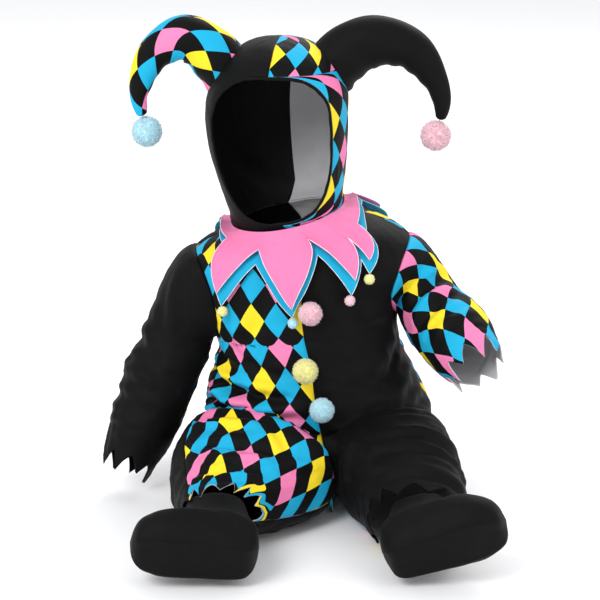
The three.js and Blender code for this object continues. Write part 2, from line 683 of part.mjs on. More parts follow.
// Closed tube from rings of points: caps at both ends.
function tubeGeometry(rings) {
  const count = rings[0].length - 1;
  const points = rings.flatMap((ring) => ring.slice(0, count));
  const first = points.length;
  const middleOf = (ring) => meanOf(ring.slice(0, count));
  points.push(middleOf(rings[0]), middleOf(rings[rings.length - 1]));
  const triangles = [];
  for (let row = 0; row + 1 < rings.length; row += 1) {
    for (let place = 0; place < count; place += 1) {
      const next = (place + 1) % count;
      const [a, b] = [row * count + place, row * count + next];
      triangles.push([a, b, b + count], [a, b + count, a + count]);
    }
  }
  const end = (rings.length - 1) * count;
  for (let place = 0; place < count; place += 1) {
    const next = (place + 1) % count;
    triangles.push([first, next, place], [first + 1, end + place, end + next]);
  }
  return outwardGeometry(closedGeometry(points, triangles));
}

function solidOf(geometry) {
  return new wasm.Manifold(new wasm.Mesh({
    numProp: 3,
    vertProperties: geometry.getAttribute("position").array,
    triVerts: Uint32Array.from(geometry.getIndex().array),
  }));
}

function geometryOf(solid) {
  const mesh = solid.getMesh();
  const geometry = new THREE.BufferGeometry();
  geometry.setAttribute("position", new THREE.Float32BufferAttribute(mesh.vertProperties, 3));
  geometry.setIndex([...mesh.triVerts]);
  return geometry;
}

// The hood's outer form as a solid block, a seam gap larger all round.
function headBlock() {
  const rings = hoodRows().slice(0, -1).map(({ row }) => range(2 * HALF_COLUMNS, (place) => {
    const degrees = (180 * (place % (2 * HALF_COLUMNS))) / HALF_COLUMNS;
    const ring = rowAt(HOOD, row);
    const [wide, front, back] = [ring.wide, ring.front, ring.back].map((size) => size + HEAD_GROWTH);
    const grown = { ...ring, wide, front, back };
    return ringPoint(grown, degrees + FACE_TURN.degrees);
  }));
  const crown = HOOD[HOOD.length - 1];
  const { round, rise } = CROWN_CAP;
  const top = range(2 * HALF_COLUMNS, (place) => {
    const turn = (Math.PI * (place % (2 * HALF_COLUMNS))) / HALF_COLUMNS;
    return vec(crown.cx + round * Math.sin(turn), crown.cy - round * Math.cos(turn), crown.z + rise);
  });
  return solidOf(tubeGeometry([...rings, top]));
}

function hornGeometry(table, side) {
  const fine = range((table.length - 1) * 2, (index) => rowAt(table, index / 2));
  const centres = fine.map(({ x, y, z }) => vec(x, y, z));
  const frames = carriedFrames(centres, vec(-side, 0, 1).normalize(), vec(0, -1, 0));
  const rings = centres.map((centre, index) => {
    const { round } = fine[index];
    return tubeRing(centre, frames[index], round, round * HORN_DEPTH, HORN_SIDES);
  });
  return geometryOf(solidOf(tubeGeometry(rings)).subtract(headBlock()));
}

// The collar's edge row at a petal position: 0 and 1 are valleys, 0.5 is the tip.
function petalColumn(index, share, layer) {
  const petal = PETALS[index];
  const previous = PETALS[(index + PETALS.length - 1) % PETALS.length];
  const startAngle = index === 0 ? previous.valley - 360 : previous.valley;
  const rising = share < 0.5;
  const blend = rising ? share * 2 : share * 2 - 1;
  const degrees = rising
    ? THREE.MathUtils.lerp(startAngle, petal.tip, blend)
    : THREE.MathUtils.lerp(petal.tip, petal.valley, blend);
  const low = rising ? previous[`${layer}Valley`] : petal[`${layer}Valley`];
  const edge = THREE.MathUtils.lerp(low, petal[`${layer}Tip`], rising ? blend : 1 - blend);
  return { degrees, edge };
}

// A point over the torso, moved straight out from it. Degrees from the front to the wearer's left.
function overTorso(degrees, row, lift) {
  const at = (turn, place) => ringPoint(rowAt(TORSO, place), turn);
  const down = at(degrees, row + ROW_STEP).sub(at(degrees, Math.max(row - ROW_STEP, 0)));
  const round = at(degrees + 1, row).sub(at(degrees - 1, row));
  const normal = down.cross(round).normalize();
  return at(degrees, row).addScaledVector(normal, lift);
}

function collarSkin(layer, lift) {
  const columns = PETALS.flatMap((_, index) => range(PETAL_COLUMNS - 1, (place) => (
    petalColumn(index, place / PETAL_COLUMNS, layer)
  )));
  columns.push({ ...columns[0] });
  const rows = range(COLLAR_ROWS, (step) => columns.map(({ degrees, edge }) => {
    const share = step / COLLAR_ROWS;
    return overTorso(degrees, edge * share, lift.near + lift.far * share * share);
  }));
  const skin = new Skin();
  skin.addGrid(rows, () => `collar_${layer}`, false);
  return skin;
}

// A pompom: a ball of faces with a three-sided lock standing on each.
function pompomGeometry(centre, round, base) {
  const position = base.getAttribute("position");
  const points = [];
  const triangles = [];
  for (let face = 0; face < position.count; face += 3) {
    const cornerOf = (corner) => vec(0, 0, 0).fromBufferAttribute(position, face + corner);
    const roots = [0, 1, 2].map((corner) => cornerOf(corner).normalize());
    const middle = meanOf(roots).normalize();
    const first = points.length;
    roots.forEach((root) => points.push(root.clone().multiplyScalar(round * POMPOM_CORE)));
    for (const root of roots) {
      points.push(root.clone().lerp(middle, LOCK.narrow).normalize().multiplyScalar(round * LOCK.shoulder));
    }
    points.push(middle.clone().multiplyScalar(round));
    for (let corner = 0; corner < 3; corner += 1) {
      const next = (corner + 1) % 3;
      const [a, b, c, d] = [first + corner, first + next, first + 3 + next, first + 3 + corner];
      triangles.push([a, b, c], [a, c, d], [d, c, first + 6]);
    }
  }
  points.forEach((point) => point.add(centre));
  return outwardGeometry(closedGeometry(points, triangles));
}

const largeBase = new THREE.OctahedronGeometry(1, 1);
const smallBase = new THREE.OctahedronGeometry(1, 0);

// A bootie: rings from heel to toe round the foot's line, the ankle hole on the instep side.
function addBootie(skin, name, place) {
  const heel = vec(...place.heel);
  const toward = vec(...place.toward).normalize();
  const lift = vec(...place.lift);
  lift.addScaledVector(toward, -lift.dot(toward)).normalize();
  const across = toward.clone().cross(lift).normalize();
  const middle = (ANKLE_HOLE.start + ANKLE_HOLE.end) / 2;
  const half = (ANKLE_HOLE.end - ANKLE_HOLE.start) / 2;
  const stations = ROWS_BEFORE_ANKLE.map((row) => ({ row, cut: 0 }));
  for (let step = 0; step <= ANKLE_HOLE.steps; step += 1) {
    const turn = (Math.PI * step) / ANKLE_HOLE.steps;
    stations.push({ row: middle - half * Math.cos(turn), cut: ANKLE_HOLE.half * Math.sin(turn), hole: true });
  }
  ROWS_AFTER_ANKLE.forEach((row) => stations.push({ row, cut: 0 }));
  const pointAt = (row, degrees) => {
    const { along, across: wide, deep, rise } = rowAt(BOOTIE, row);
    const sine = Math.sin(radians(degrees));
    const cosine = Math.cos(radians(degrees));
    const level = cosine > 0 ? -Math.min(deep * cosine * SOLE_SQUARE, deep) : -deep * cosine;
    return heel.clone()
      .addScaledVector(toward, along)
      .addScaledVector(across, Math.max(wide, 0) * sine)
      .addScaledVector(lift, rise - SOLE_HEIGHT + level);
  };
  const edges = {};
  for (const side of [-1, 1]) {
    const rows = stations.map(({ row, cut }) => range(BOOTIE_COLUMNS, (column) => (
      pointAt(row, (side * (180 - cut) * column) / BOOTIE_COLUMNS)
    )));
    skin.addGrid(rows, () => name, side < 0);
    edges[side] = stations.flatMap(({ hole }, index) => (hole ? [rows[index][BOOTIE_COLUMNS]] : []));
  }
  const loop = [...edges[-1], ...edges[1].slice(0, -1).reverse()];
  const centre = meanOf(loop.slice(0, -1));
  const ankle = vec(...place.ankle);
  const shaft = SHAFT.shares.map((share) => loop.map((point) => {
    const spread = point.clone().sub(centre);
    const flat = spread.clone().addScaledVector(lift, -spread.dot(lift));
    const level = spread.clone().lerp(flat, Math.min(share * SHAFT.level, 1));
    return centre.clone().lerp(ankle, share).add(level.multiplyScalar(1 - SHAFT.taper * share));
  }));
  skin.addGrid(shaft, () => name, false);
}

const KNIT_ROUGHNESS = 0.8;
const PILE_ROUGHNESS = 0.95;
const costume = new THREE.Group();
costume.position.set(-HOLD.x, -HOLD.y, -HOLD.z);

function addMesh(name, geometry, colour, roughness = KNIT_ROUGHNESS) {
  const material = new THREE.MeshStandardMaterial({ color: colour, roughness, metalness: 0 });
  const mesh = new THREE.Mesh(geometry, material);
  mesh.name = name;
  costume.add(mesh);
}

// Suit and hood share one skin, so that their seams meet all along.
const suit = new Skin();
const armholes = { "-1": addTorsoSide(suit, -1), 1: addTorsoSide(suit, 1) };
for (const side of [-1, 1]) {
  addLeg(suit, side);
  addSleeve(suit, side, armholes[side]);
}
const faceEdge = addHood(suit).map((point) => suit.place(point));
suit.raise(foldHeight);
suit.flattenUnderside();

for (const side of [-1, 1]) {
  for (const name of Object.values(suitPieces[side])) {
    const colour = name.endsWith("print") ? COLOURS.print : COLOURS.black;
    addMesh(name, pieceWall(suit, name, CLOTH), colour);
  }
}
const suitNormals = suit.normals();
const bindingEdge = faceEdge.map((number) => suit.points[number].clone());
const bindingNormals = faceEdge.map((number) => suitNormals[number]);
addMesh("hood_binding", bindingGeometry(bindingEdge, bindingNormals), COLOURS.black);
addMesh("horn_right_print", hornGeometry(HORN_RIGHT, -1), COLOURS.print);
addMesh("horn_left_black", hornGeometry(HORN_LEFT, 1), COLOURS.black);

addMesh("collar_blue", pieceWall(collarSkin("blue", BLUE_LIFT), "collar_blue", COLLAR_CLOTH), COLOURS.blue);
addMesh("collar_pink", pieceWall(collarSkin("pink", PINK_LIFT), "collar_pink", COLLAR_CLOTH), COLOURS.pink);

const pompomColours = { pink: COLOURS.palePink, yellow: COLOURS.paleYellow, blue: COLOURS.paleBlue };

function addPompom(name, centre, round, base, hue) {
  addMesh(name, pompomGeometry(centre, round, base), pompomColours[hue], PILE_ROUGHNESS);
}

for (const { name, row, column, round, hue } of FRONT_POMPOMS) {
  const centre = overTorso((180 * column) / HALF_COLUMNS, row, round + POMPOM_STAND);
  addPompom(name, centre, round, largeBase, hue);
}

function hornPompom(table) {
  const tip = table[table.length - 1];
  const before = table[table.length - 2];
  const end = vec(tip.x, tip.y, tip.z);
  const along = end.clone().sub(vec(before.x, before.y, before.z)).normalize();
  return end.addScaledVector(along, HORN_POMPOM + POMPOM_GAP);
}
addPompom("pompom_horn_blue", hornPompom(HORN_RIGHT), HORN_POMPOM, largeBase, "blue");
addPompom("pompom_horn_pink", hornPompom(HORN_LEFT), HORN_POMPOM, largeBase, "pink");

PETALS.filter(({ hue }) => hue).forEach(({ tip, blueTip, hue }, index) => {
  const lift = BLUE_LIFT.near + BLUE_LIFT.far;
  const end = overTorso(tip, blueTip, lift);
  const along = end.clone().sub(overTorso(tip, blueTip - ROW_STEP, lift)).normalize();
  const centre = end.addScaledVector(along, PETAL_POMPOM + POMPOM_GAP);
  addPompom(`pompom_petal_${index + 1}_${hue}`, centre, PETAL_POMPOM, smallBase, hue);
});

// Fastening strip over the centre back seam, below the collar's top.
function fasteningSkin() {
  const { top, bottom, rows, halfWidth, lift } = FASTENING;
  const skin = new Skin();
  const grid = range(rows, (step) => range(2, (place) => (
    overTorso(180 + (place - 1) * halfWidth, THREE.MathUtils.lerp(top, bottom, step / rows), lift)
  )));
  skin.addGrid(grid, () => "back_fastening", false);
  return skin;
}
addMesh("back_fastening", pieceWall(fasteningSkin(), "back_fastening", FASTENING.thick), COLOURS.black);

for (const [name, place] of [["bootie_right", BOOTIE_RIGHT], ["bootie_left", BOOTIE_LEFT]]) {
  const skin = new Skin();
  addBootie(skin, name, place);
  skin.flattenUnderside();
  addMesh(name, pieceWall(skin, name, CLOTH), COLOURS.black);
}

export default costume;
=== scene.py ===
"""Jester costume for an infant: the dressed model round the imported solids.

Lengths are millimetres over the floor until a mesh is made, when they become metres in the
part's own frame. +Z is up, the costume faces -Y, and right and left are the wearer's.
"""

import logging
import math
from dataclasses import dataclass, field
from enum import Enum
from typing import Optional, Sequence

import bmesh
import bpy
import numpy as np
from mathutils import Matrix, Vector

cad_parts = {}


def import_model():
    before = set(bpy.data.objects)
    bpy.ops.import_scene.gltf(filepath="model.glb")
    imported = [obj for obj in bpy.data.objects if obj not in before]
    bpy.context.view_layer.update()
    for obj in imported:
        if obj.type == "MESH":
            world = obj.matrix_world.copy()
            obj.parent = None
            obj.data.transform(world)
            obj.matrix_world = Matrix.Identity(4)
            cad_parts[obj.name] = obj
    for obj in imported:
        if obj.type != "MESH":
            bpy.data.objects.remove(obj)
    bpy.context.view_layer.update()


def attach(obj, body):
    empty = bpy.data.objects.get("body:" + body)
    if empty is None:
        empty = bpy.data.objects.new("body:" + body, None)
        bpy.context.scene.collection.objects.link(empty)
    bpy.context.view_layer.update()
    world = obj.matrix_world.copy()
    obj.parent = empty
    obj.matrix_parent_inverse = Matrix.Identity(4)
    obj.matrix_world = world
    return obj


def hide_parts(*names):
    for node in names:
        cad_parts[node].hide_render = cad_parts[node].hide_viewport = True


log = logging.getLogger("costume")

Array = np.ndarray

HOLD_HEIGHT = 250.0
MM = 0.001
HALF = 14
SIDE = 7
THIGH_TOP = 4
CROTCH = 8
HIP_ROW = 11
BOXY = 0.88
FLOOR_FLAT = 0.52
WELD = 0.02
TINY = 1e-9
FAR = 1e9
BODY = "root"


class Side(Enum):
    """The wearer's two sides."""

    RIGHT = -1
    LEFT = 1


class Hue(Enum):
    """Colours of the knit and of the pile, as linear red, green and blue."""

    BLACK = (0.0018, 0.0018, 0.0020)
    BLUE = (0.012, 0.38, 0.62)
    PINK = (0.80, 0.205, 0.41)
    YELLOW = (0.87, 0.67, 0.025)
    PALE_PINK = (0.98, 0.62, 0.70)
    PALE_YELLOW = (0.96, 0.91, 0.36)
    PALE_BLUE = (0.52, 0.84, 0.94)
    WRONG_SIDE = (0.50, 0.50, 0.51)
    THREAD = (0.80, 0.84, 0.86)


def cubic(a: Array, b: Array, c: Array, d: Array, share: Array) -> Array:
    """Smooth curve from b to c, with the slopes that a and d give.

    Args:
        a: value before b.
        b: value at share 0.
        c: value at share 1.
        d: value after c.
        share: place between b and c.

    Returns:
        The Hermite cubic whose slopes are half of c - a and half of d - b.
    """
    s2 = share * share
    s3 = s2 * share
    return (
        (2 * s3 - 3 * s2 + 1) * b
        + (s3 - 2 * s2 + share) * (c - a) / 2
        + (3 * s2 - 2 * s3) * c
        + (s3 - s2) * (d - b) / 2
    )


class Table:
    """Rows of named sizes that can be read at any fractional row along a smooth curve."""

    def __init__(self, names: str, rows: Sequence[Sequence[float]]) -> None:
        """Keeps the rows under their names, which are words parted by spaces."""
        self.names = names.split()
        self.values = np.array(rows, float)

    def at(self, rows: Array) -> dict[str, Array]:
        """Every column at the given fractional rows."""
        value = self.points(rows)
        return {name: value[..., place] for place, name in enumerate(self.names)}

    def points(self, rows: Array) -> Array:
        """All columns as the last axis, at the given fractional rows."""
        last = len(self.values) - 1
        rows = np.asarray(rows, float)
        low = np.clip(np.floor(rows).astype(int), 0, last - 1)
        near = [self.values[np.clip(low + step, 0, last)] for step in (-1, 0, 1, 2)]
        return cubic(*near, (rows - low)[..., None])


RING = "z cx cy wide front back tilt lean"
TORSO = Table(RING, [
    (289, -12, 2, 56, 62, 46, -1, 0.2),
    (280, -6, 2, 75, 67, 52, -1, 0.14),
    (270, 1, 1, 98, 71, 57, -1, 0.08),
    (257, 3, 0, 113, 74, 61, 0, 0.05),
    (238, 3, 0, 115, 77, 63, 0, 0.03),
    (210, 1, 0, 105, 79, 64, 0, 0.01),
    (180, 4, 0, 97, 82, 66, 0, 0),
    (150, 11, 0, 95, 86, 70, 0, 0),
    (124, 14, 0, 104, 90, 74, 0, 0),
    (100, 17, 0, 114, 93, 80, 3, 0),
    (76, 20, 0, 118, 93, 83, 12, 0),
    (48, 22, 0, 117, 88, 80, 30, 0),
])
HOOD = Table(RING, [
    (289, -12, 2, 56, 62, 46, -1, 0.2),
    (301, -14, 2, 58, 67, 50, -2, 0.14),
    (318, -17, 2, 62, 70, 60, -1, 0.06),
    (340, -20, 2, 67, 72, 70, 0, 0.02),
    (366, -22.5, 2, 71, 74, 77, 0, 0),
    (394, -23.5, 2, 72.5, 75, 80, 0, 0),
    (418, -22, 2, 70.5, 73, 77, 0, 0),
    (440, -21, 2, 61, 65, 66, 0, 0),
    (457, -20, 2, 46, 50, 50, 0, 0),
    (468, -20, 2, 26, 28, 28, 0, 0),
    (472, -20, 2, 0, 0, 0, 0, 0),
])
CROTCH_LINE = Table("x y z", [
    (22, 80, 18),
    (22, 58, 2),
    (23, 30, 0),
    (25, -5, 0),
    (28, -40, 0),
    (31, -76, 0),
    (33, -104, 3),
    (31, -106, 42),
    (22, -88, 78),
])
LEG_RINGS = "x y z wide tall turn"
LEGS = {
    Side.RIGHT: Table(LEG_RINGS, [
        (-51, -77, 53, 74, 53, 25),
        (-48, -120, 51, 83, 51, 8),
        (-59, -158, 45, 66, 43, 0),
        (-69, -186, 44, 50, 34, -5),
        (-76, -206, 46, 39, 27, -8),
    ]),
    Side.LEFT: Table(LEG_RINGS, [
        (93, -82, 53, 64, 53, 20),
        (99, -124, 50, 60, 50, 8),
        (109, -160, 46, 55, 46, 0),
        (111, -187, 42, 50, 39, -3),
        (111, -208, 41, 46, 33, -5),
    ]),
}
LEG_COLUMNS = (0, SIDE, HALF, HALF + CROTCH)
LEG_ANGLES = {Side.RIGHT: (-40, 52, 215, 320), Side.LEFT: (-40, 92, 215, 320)}
SLEEVES = {
    Side.RIGHT: Table("x y z round", [
        (-127, -2, 158, 37),
        (-141, -10, 126, 38),
        (-155, -22, 92, 37.5),
        (-166, -34, 63, 34),
        (-178, -46, 37, 28),
    ]),
    Side.LEFT: Table("x y z round", [
        (129, -8, 202, 33),
        (141, -26, 187, 37),
        (156, -50, 176, 39),
        (167, -74, 166, 36),
        (175, -88, 158, 31),
    ]),
}
HORNS = {
    Side.RIGHT: Table("x y z round", [
        (-48, 4, 410, 27),
        (-76, 4, 441, 28),
        (-100, 3, 464, 24.5),
        (-119, 2, 470, 23),
        (-139, 0, 461, 19),
        (-153, -2, 444, 15),
        (-160, -3, 427, 12),
        (-162.5, -4, 412, 9),
        (-161, -4, 400, 7),
        (-159, -4, 392, 4.5),
    ]),
    Side.LEFT: Table("x y z round", [
        (8, 4, 410, 27),
        (34, 4, 443, 29),
        (63, 3, 464, 27),
        (87, 2, 467, 24.5),
        (107, 0, 461, 21.5),
        (124, -2, 447, 17.5),
        (136, -3, 429, 13),
        (142.5, -4, 411, 10),
        (143, -4, 397, 7.5),
        (141, -4, 388, 4.5),
    ]),
}


def boxy(value: Array) -> Array:
    """Sine or cosine raised to a power under one, so that rings are a little square."""
    return np.sign(value) * np.abs(value) ** BOXY


def ring_point(ring: dict[str, Array], degrees: Array) -> Array:
    """Points of body rings.

    Args:
        ring: half sizes, centre, tilt and lean of the ring for each point.
        degrees: angle from the front centre towards the wearer's left.

    Returns:
        Points on a rounded oval: wide across, front or back deep, lifted at the front by the
        tilt and at the wearer's left by the lean.
    """
    sine, cosine = np.sin(np.radians(degrees)), np.cos(np.radians(degrees))
    depth = np.where(cosine > 0, ring["front"], ring["back"])
    across = ring["wide"] * boxy(sine)
    height = ring["z"] + ring["tilt"] * cosine + ring["lean"] * across
    return np.stack([ring["cx"] + across, ring["cy"] - depth * boxy(cosine), height], -1)


def torso_point(side: Side, column: Array, row: Array) -> Array:
    """The torso at columns from 0, the front centre, to HALF, the back centre."""
    return ring_point(TORSO.at(row), side.value * 180.0 * np.asarray(column) / HALF)


def unit(vectors: Array) -> Array:
    """The same directions, each one long."""
    return vectors / np.maximum(np.linalg.norm(vectors, axis=-1, keepdims=True), TINY)


def arc_lengths(points: Array, axis: int) -> Array:
    """Length along a grid from its first line, measured through its points.

    Args:
        points: rows and columns of points.
        axis: 0 to measure down the columns, 1 along the rows.

    Returns:
        The length at each point: the sum of the straight steps before it.
    """
    steps = np.linalg.norm(np.diff(points, axis=axis), axis=-1)
    start = np.zeros_like(np.take(steps, [0], axis=axis))
    return np.concatenate([start, np.cumsum(steps, axis=axis)], axis=axis)


@dataclass
class Panel:
    """One grid of a cloth skin, with its place on the flat cloth."""

    name: str
    points: Array
    flat: Array
    owners: Array
    flip: bool
    numbers: Optional[Array] = None


@dataclass(frozen=True)
class Crease:
    """A soft fold between two places, each a panel and shares across and down it.

    The height is above 0 for a ridge and below 0 for a trough; sag bends the line downwards.
    """

    start: tuple[str, float, float]
    end: tuple[str, float, float]
    width: float
    height: float
    sag: float


class ClothSkin:
    """A surface of joined panels, from which the pieces of cloth are cut along shared seams."""

    even_columns = 5.0
    line_steps = 13
    fold_reach = 4
    fold_ends = 0.34
    dip_depth = 0.32
    dip_place = 1.75
    dip_width = 0.75

    def __init__(self) -> None:
        """Starts with no panels."""
        self.panels: dict[str, Panel] = {}
        self.points = np.zeros((0, 3))
        self.quads = np.zeros((0, 4), int)
        self.flats = np.zeros((0, 4, 2))
        self.owners = np.zeros(0, int)
        self.start_points = self.points
        self.names: list[str] = []

    def owner(self, name: str) -> int:
        """The number of a piece, which is given one when it is first named."""
        if name not in self.names:
            self.names.append(name)
        return self.names.index(name)

    def add(self, panel: Panel) -> None:
        """Takes a panel in."""
        self.panels[panel.name] = panel

    def weld(self) -> None:
        """Joins the panels: points that fall on one place become one point."""
        points, quads, owners, first = [], [], [], 0
        for panel in self.panels.values():
            rows, columns = panel.points.shape[:2]
            numbers = first + np.arange(rows * columns).reshape(rows, columns)
            corners = [numbers[:-1, :-1], numbers[1:, :-1], numbers[1:, 1:], numbers[:-1, 1:]]
            quads.append(np.stack(corners[::-1] if panel.flip else corners, -1).reshape(-1, 4))
            owners.append(panel.owners.reshape(-1))
            points.append(panel.points.reshape(-1, 3))
            first += rows * columns
        every = np.concatenate(points)
        keys = np.round(every / WELD).astype(np.int64)
        _, kept, number = np.unique(keys, axis=0, return_index=True, return_inverse=True)
        self.points = every[kept]
        number, first = number.reshape(-1), 0
        for panel in self.panels.values():
            count = panel.points.shape[0] * panel.points.shape[1]
            panel.numbers = number[first:first + count].reshape(panel.points.shape[:2])
            first += count
        self.quads = number[np.concatenate(quads)]
        self.owners = np.concatenate(owners)
        self.start_points = self.points.copy()
        self.collect_flats()

    def collect_flats(self) -> None:
        """Gathers the flat places of every face corner from the panels."""
        flats = []
        for panel in self.panels.values():
            places = [panel.flat[:-1, :-1], panel.flat[1:, :-1], panel.flat[1:, 1:], panel.flat[:-1, 1:]]
            flats.append(np.stack(places[::-1] if panel.flip else places, -2).reshape(-1, 4, 2))
        self.flats = np.concatenate(flats)

    def slide_flats(self, height: Array, gain: float) -> None:
        """Moves the flat places as the folds take cloth up, so that the print bends with them.

        Each step along a grid line is lengthened from s to the root of s squared plus the
        squared change of height times the gain. The growth is evened out to both sides over
        about ten columns and added up from the top of a panel downwards, on from the mean at
        the foot of the panel above.

        Args:
            height: how far each point is raised.
            gain: factor on the height, over 1 for cloth that lies hidden in the folds.
        """
        below = np.zeros(len(self.points))
        for panel in self.panels.values():
            plain = np.linalg.norm(np.diff(panel.points, axis=0), axis=-1)
            growth = np.hypot(plain, np.diff(height[panel.numbers] * gain, axis=0)) - plain
            total = np.concatenate([np.zeros_like(growth[:1]), np.cumsum(growth, axis=0)])
            spread = np.arange(total.shape[1])
            weight = np.exp(-((spread[:, None] - spread) / self.even_columns) ** 2)
            total = total @ (weight / weight.sum(axis=0)) + below[panel.numbers[0]].mean()
            below[panel.numbers[-1]] = total[-1]
            panel.flat[..., 1] += total
        self.collect_flats()

    def normals(self) -> Array:
        """Direction out of the cloth at each point: the mean of the faces round it.

        Returns:
            One direction for each point of the skin.
        """
        corner = self.points[self.quads]
        across = np.cross(corner[:, 2] - corner[:, 0], corner[:, 3] - corner[:, 1])
        total = np.zeros_like(self.points)
        for place in range(4):
            np.add.at(total, self.quads[:, place], across)
        return unit(total)

    def relax(self, values: Array, rounds: int, share: float = 0.5) -> Array:
        """Values at the points, each drawn towards the mean of its neighbours.

        Args:
            values: one value or row of values for each point.
            rounds: how often they are drawn together.
            share: how far each goes towards the mean in one round.

        Returns:
            The evened values.
        """
        count = np.zeros(len(self.points))
        for place in range(4):
            np.add.at(count, self.quads[:, place], 2)
        count = np.maximum(count, 1).reshape(-1, *[1] * (values.ndim - 1))
        for _ in range(rounds):
            total = np.zeros_like(values)
            for place in range(4):
                np.add.at(total, self.quads[:, place], values[self.quads[:, (place + 1) % 4]])
                np.add.at(total, self.quads[:, place], values[self.quads[:, (place + 3) % 4]])
            values = values + share * (total / count - values)
        return values

    def place(self, name: str, across: Array, down: Array) -> Array:
        """The points of a panel at shares across and down it."""
        grid = self.panels[name].points
        row = np.round(down * (grid.shape[0] - 1)).astype(int)
        column = np.round(across * (grid.shape[1] - 1)).astype(int)
        return grid[row, column]

    def crease_line(self, crease: Crease, steps: Array) -> Array:
        """Points along a fold: over the cloth within a panel, straight between two panels.

        Args:
            crease: the fold.
            steps: shares of its length.

        Returns:
            A point for each share, lowered between the ends by the fold's sag.
        """
        (name, *first), (other, *last) = crease.start, crease.end
        ends = np.array([first, last])
        share = ends[0] + (ends[1] - ends[0]) * steps[:, None]
        if name == other:
            line = self.place(name, share[:, 0], share[:, 1])
        else:
            start = self.place(name, ends[:1, 0], ends[:1, 1])
            end = self.place(other, ends[1:, 0], ends[1:, 1])
            line = start + (end - start) * steps[:, None]
        line = line.copy()
        line[:, 2] -= crease.sag * 4 * steps * (1 - steps)
        return line

    def crease_height(self, creases: Sequence[Crease]) -> Array:
        """Height of all folds at the points.

        A fold is a line that sags between its ends. Across it the height falls off as the bell
        of the distance over the width, with a shallow dip on both sides; along it the height
        swells from a third at the ends to the whole in the middle.

        Args:
            creases: the folds.

        Returns:
            One height for each point of the skin.
        """
        total = np.zeros(len(self.points))
        steps = np.linspace(0, 1, self.line_steps)
        for crease in creases:
            line = self.crease_line(crease, steps)
            best = np.full(len(self.points), FAR)
            along = np.zeros(len(self.points))
            reach = self.fold_reach * crease.width
            near = np.flatnonzero(
                np.all(self.points > line.min(0) - reach, axis=1)
                & np.all(self.points < line.max(0) + reach, axis=1)
            )
            spots = self.points[near]
            for place in range(len(steps) - 1):
                leg = line[place + 1] - line[place]
                share = np.clip((spots - line[place]) @ leg / max(leg @ leg, 1e-6), 0, 1)
                away = np.linalg.norm(spots - line[place] - share[:, None] * leg, axis=1)
                closer = away < best[near]
                best[near[closer]] = away[closer]
                along[near[closer]] = (place + share[closer]) / (len(steps) - 1)
            d = best / crease.width
            bell = np.exp(-d * d) - self.dip_depth * np.exp(-((d - self.dip_place) / self.dip_width) ** 2)
            swell = self.fold_ends + (1 - self.fold_ends) * np.sin(np.pi * along)
            total += crease.height * swell * bell * (d < self.fold_reach)
        return total

    def seam_mask(self) -> Array:
        """Marks the seams.

        Returns:
            1 at points that two pieces share, 0 elsewhere.
        """
        low = np.full(len(self.points), len(self.names))
        high = np.full(len(self.points), -1)
        for place in range(4):
            np.minimum.at(low, self.quads[:, place], self.owners)
            np.maximum.at(high, self.quads[:, place], self.owners)
        return (high > low).astype(float)

    def raise_by(self, height: Array) -> None:
        """Moves every point along its normal, then no point lies under the floor."""
        self.points = self.points + self.normals() * height[:, None]
        self.points[:, 2] = np.maximum(self.points[:, 2], 0)

    def piece(self, name: str) -> tuple[Array, Array, Array]:
        """The faces of one piece.

        Args:
            name: the piece's node.

        Returns:
            Its points, its quads and the flat places of their corners.
        """
        mine = self.owners == self.names.index(name)
        quads, flats = self.quads[mine], self.flats[mine]
        used, numbers = np.unique(quads, return_inverse=True)
        return self.points[used], numbers.reshape(quads.shape), flats


WAVE_WEIGHTS = (1.0, 0.7, 0.45, 0.3)
WAVE_SUM = 1.8


def rumple(points: Array, seed: int, size: float, stretch: Sequence[float]) -> Array:
    """Uneven height between -1 and 1: a sum of waves in random directions, bent by slower ones.

    Args:
        points: places in millimetres.
        seed: number that fixes the waves.
        size: length of the waves in millimetres.
        stretch: factor on the length along X, Y and Z.

    Returns:
        One height for each point.
    """
    random = np.random.default_rng(seed)
    spots = points / (np.array(stretch) * size)
    slow = [np.sin(spots @ random.normal(size=3) * 1.4 + random.uniform(0, 6)) for _ in range(3)]
    spots = spots + 0.55 * np.stack(slow, -1)
    total = np.zeros(len(points))
    for octave, weight in enumerate(WAVE_WEIGHTS):
        way = unit(random.normal(size=3)) * 2 * np.pi * (0.75 + 0.55 * octave)
        total += weight * np.sin(spots @ way + random.uniform(0, 6))
    return total / WAVE_SUM


def make_object(name: str, points: Array, faces: Sequence[Sequence[int]],
                flats: Optional[Array] = None) -> bpy.types.Object:
    """A mesh object in metres in the part's frame, smooth shaded.

    Args:
        name: the object's name.
        points: places in millimetres over the floor.
        faces: corner numbers of each face.
        flats: place on the flat cloth of every face corner, in millimetres.

    Returns:
        The new object, which rides on the part's body.
    """
    mesh = bpy.data.meshes.new(name)
    placed = (np.asarray(points) - (0, 0, HOLD_HEIGHT)) * MM
    mesh.from_pydata(placed.tolist(), [], faces)
    if flats is not None:
        layer = mesh.uv_layers.new(name="Flat")
        layer.data.foreach_set("uv", np.asarray(flats, np.float32).reshape(-1))
    mesh.polygons.foreach_set("use_smooth", [True] * len(mesh.polygons))
    mesh.update()
    item = bpy.data.objects.new(name, mesh)
    bpy.context.scene.collection.objects.link(item)
    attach(item, BODY)
    return item


def split_faces(quads: Array, flats: Array) -> tuple[list[list[int]], Array]:
    """Quads that meet at a pole lose their doubled corner.

    Args:
        quads: four corner numbers a face.
        flats: flat places of those corners.

    Returns:
        The faces as lists, and the flat places of their corners in the same order.
    """
    doubled = quads == np.roll(quads, -1, axis=1)
    whole = ~doubled.any(axis=1)
    single = doubled.sum(axis=1) == 1
    keep = ~doubled[single]
    triangles = quads[single][keep].reshape(-1, 3)
    places = [flats[whole].reshape(-1, 2), flats[single][keep].reshape(-1, 2)]
    return quads[whole].tolist() + triangles.tolist(), np.concatenate(places)


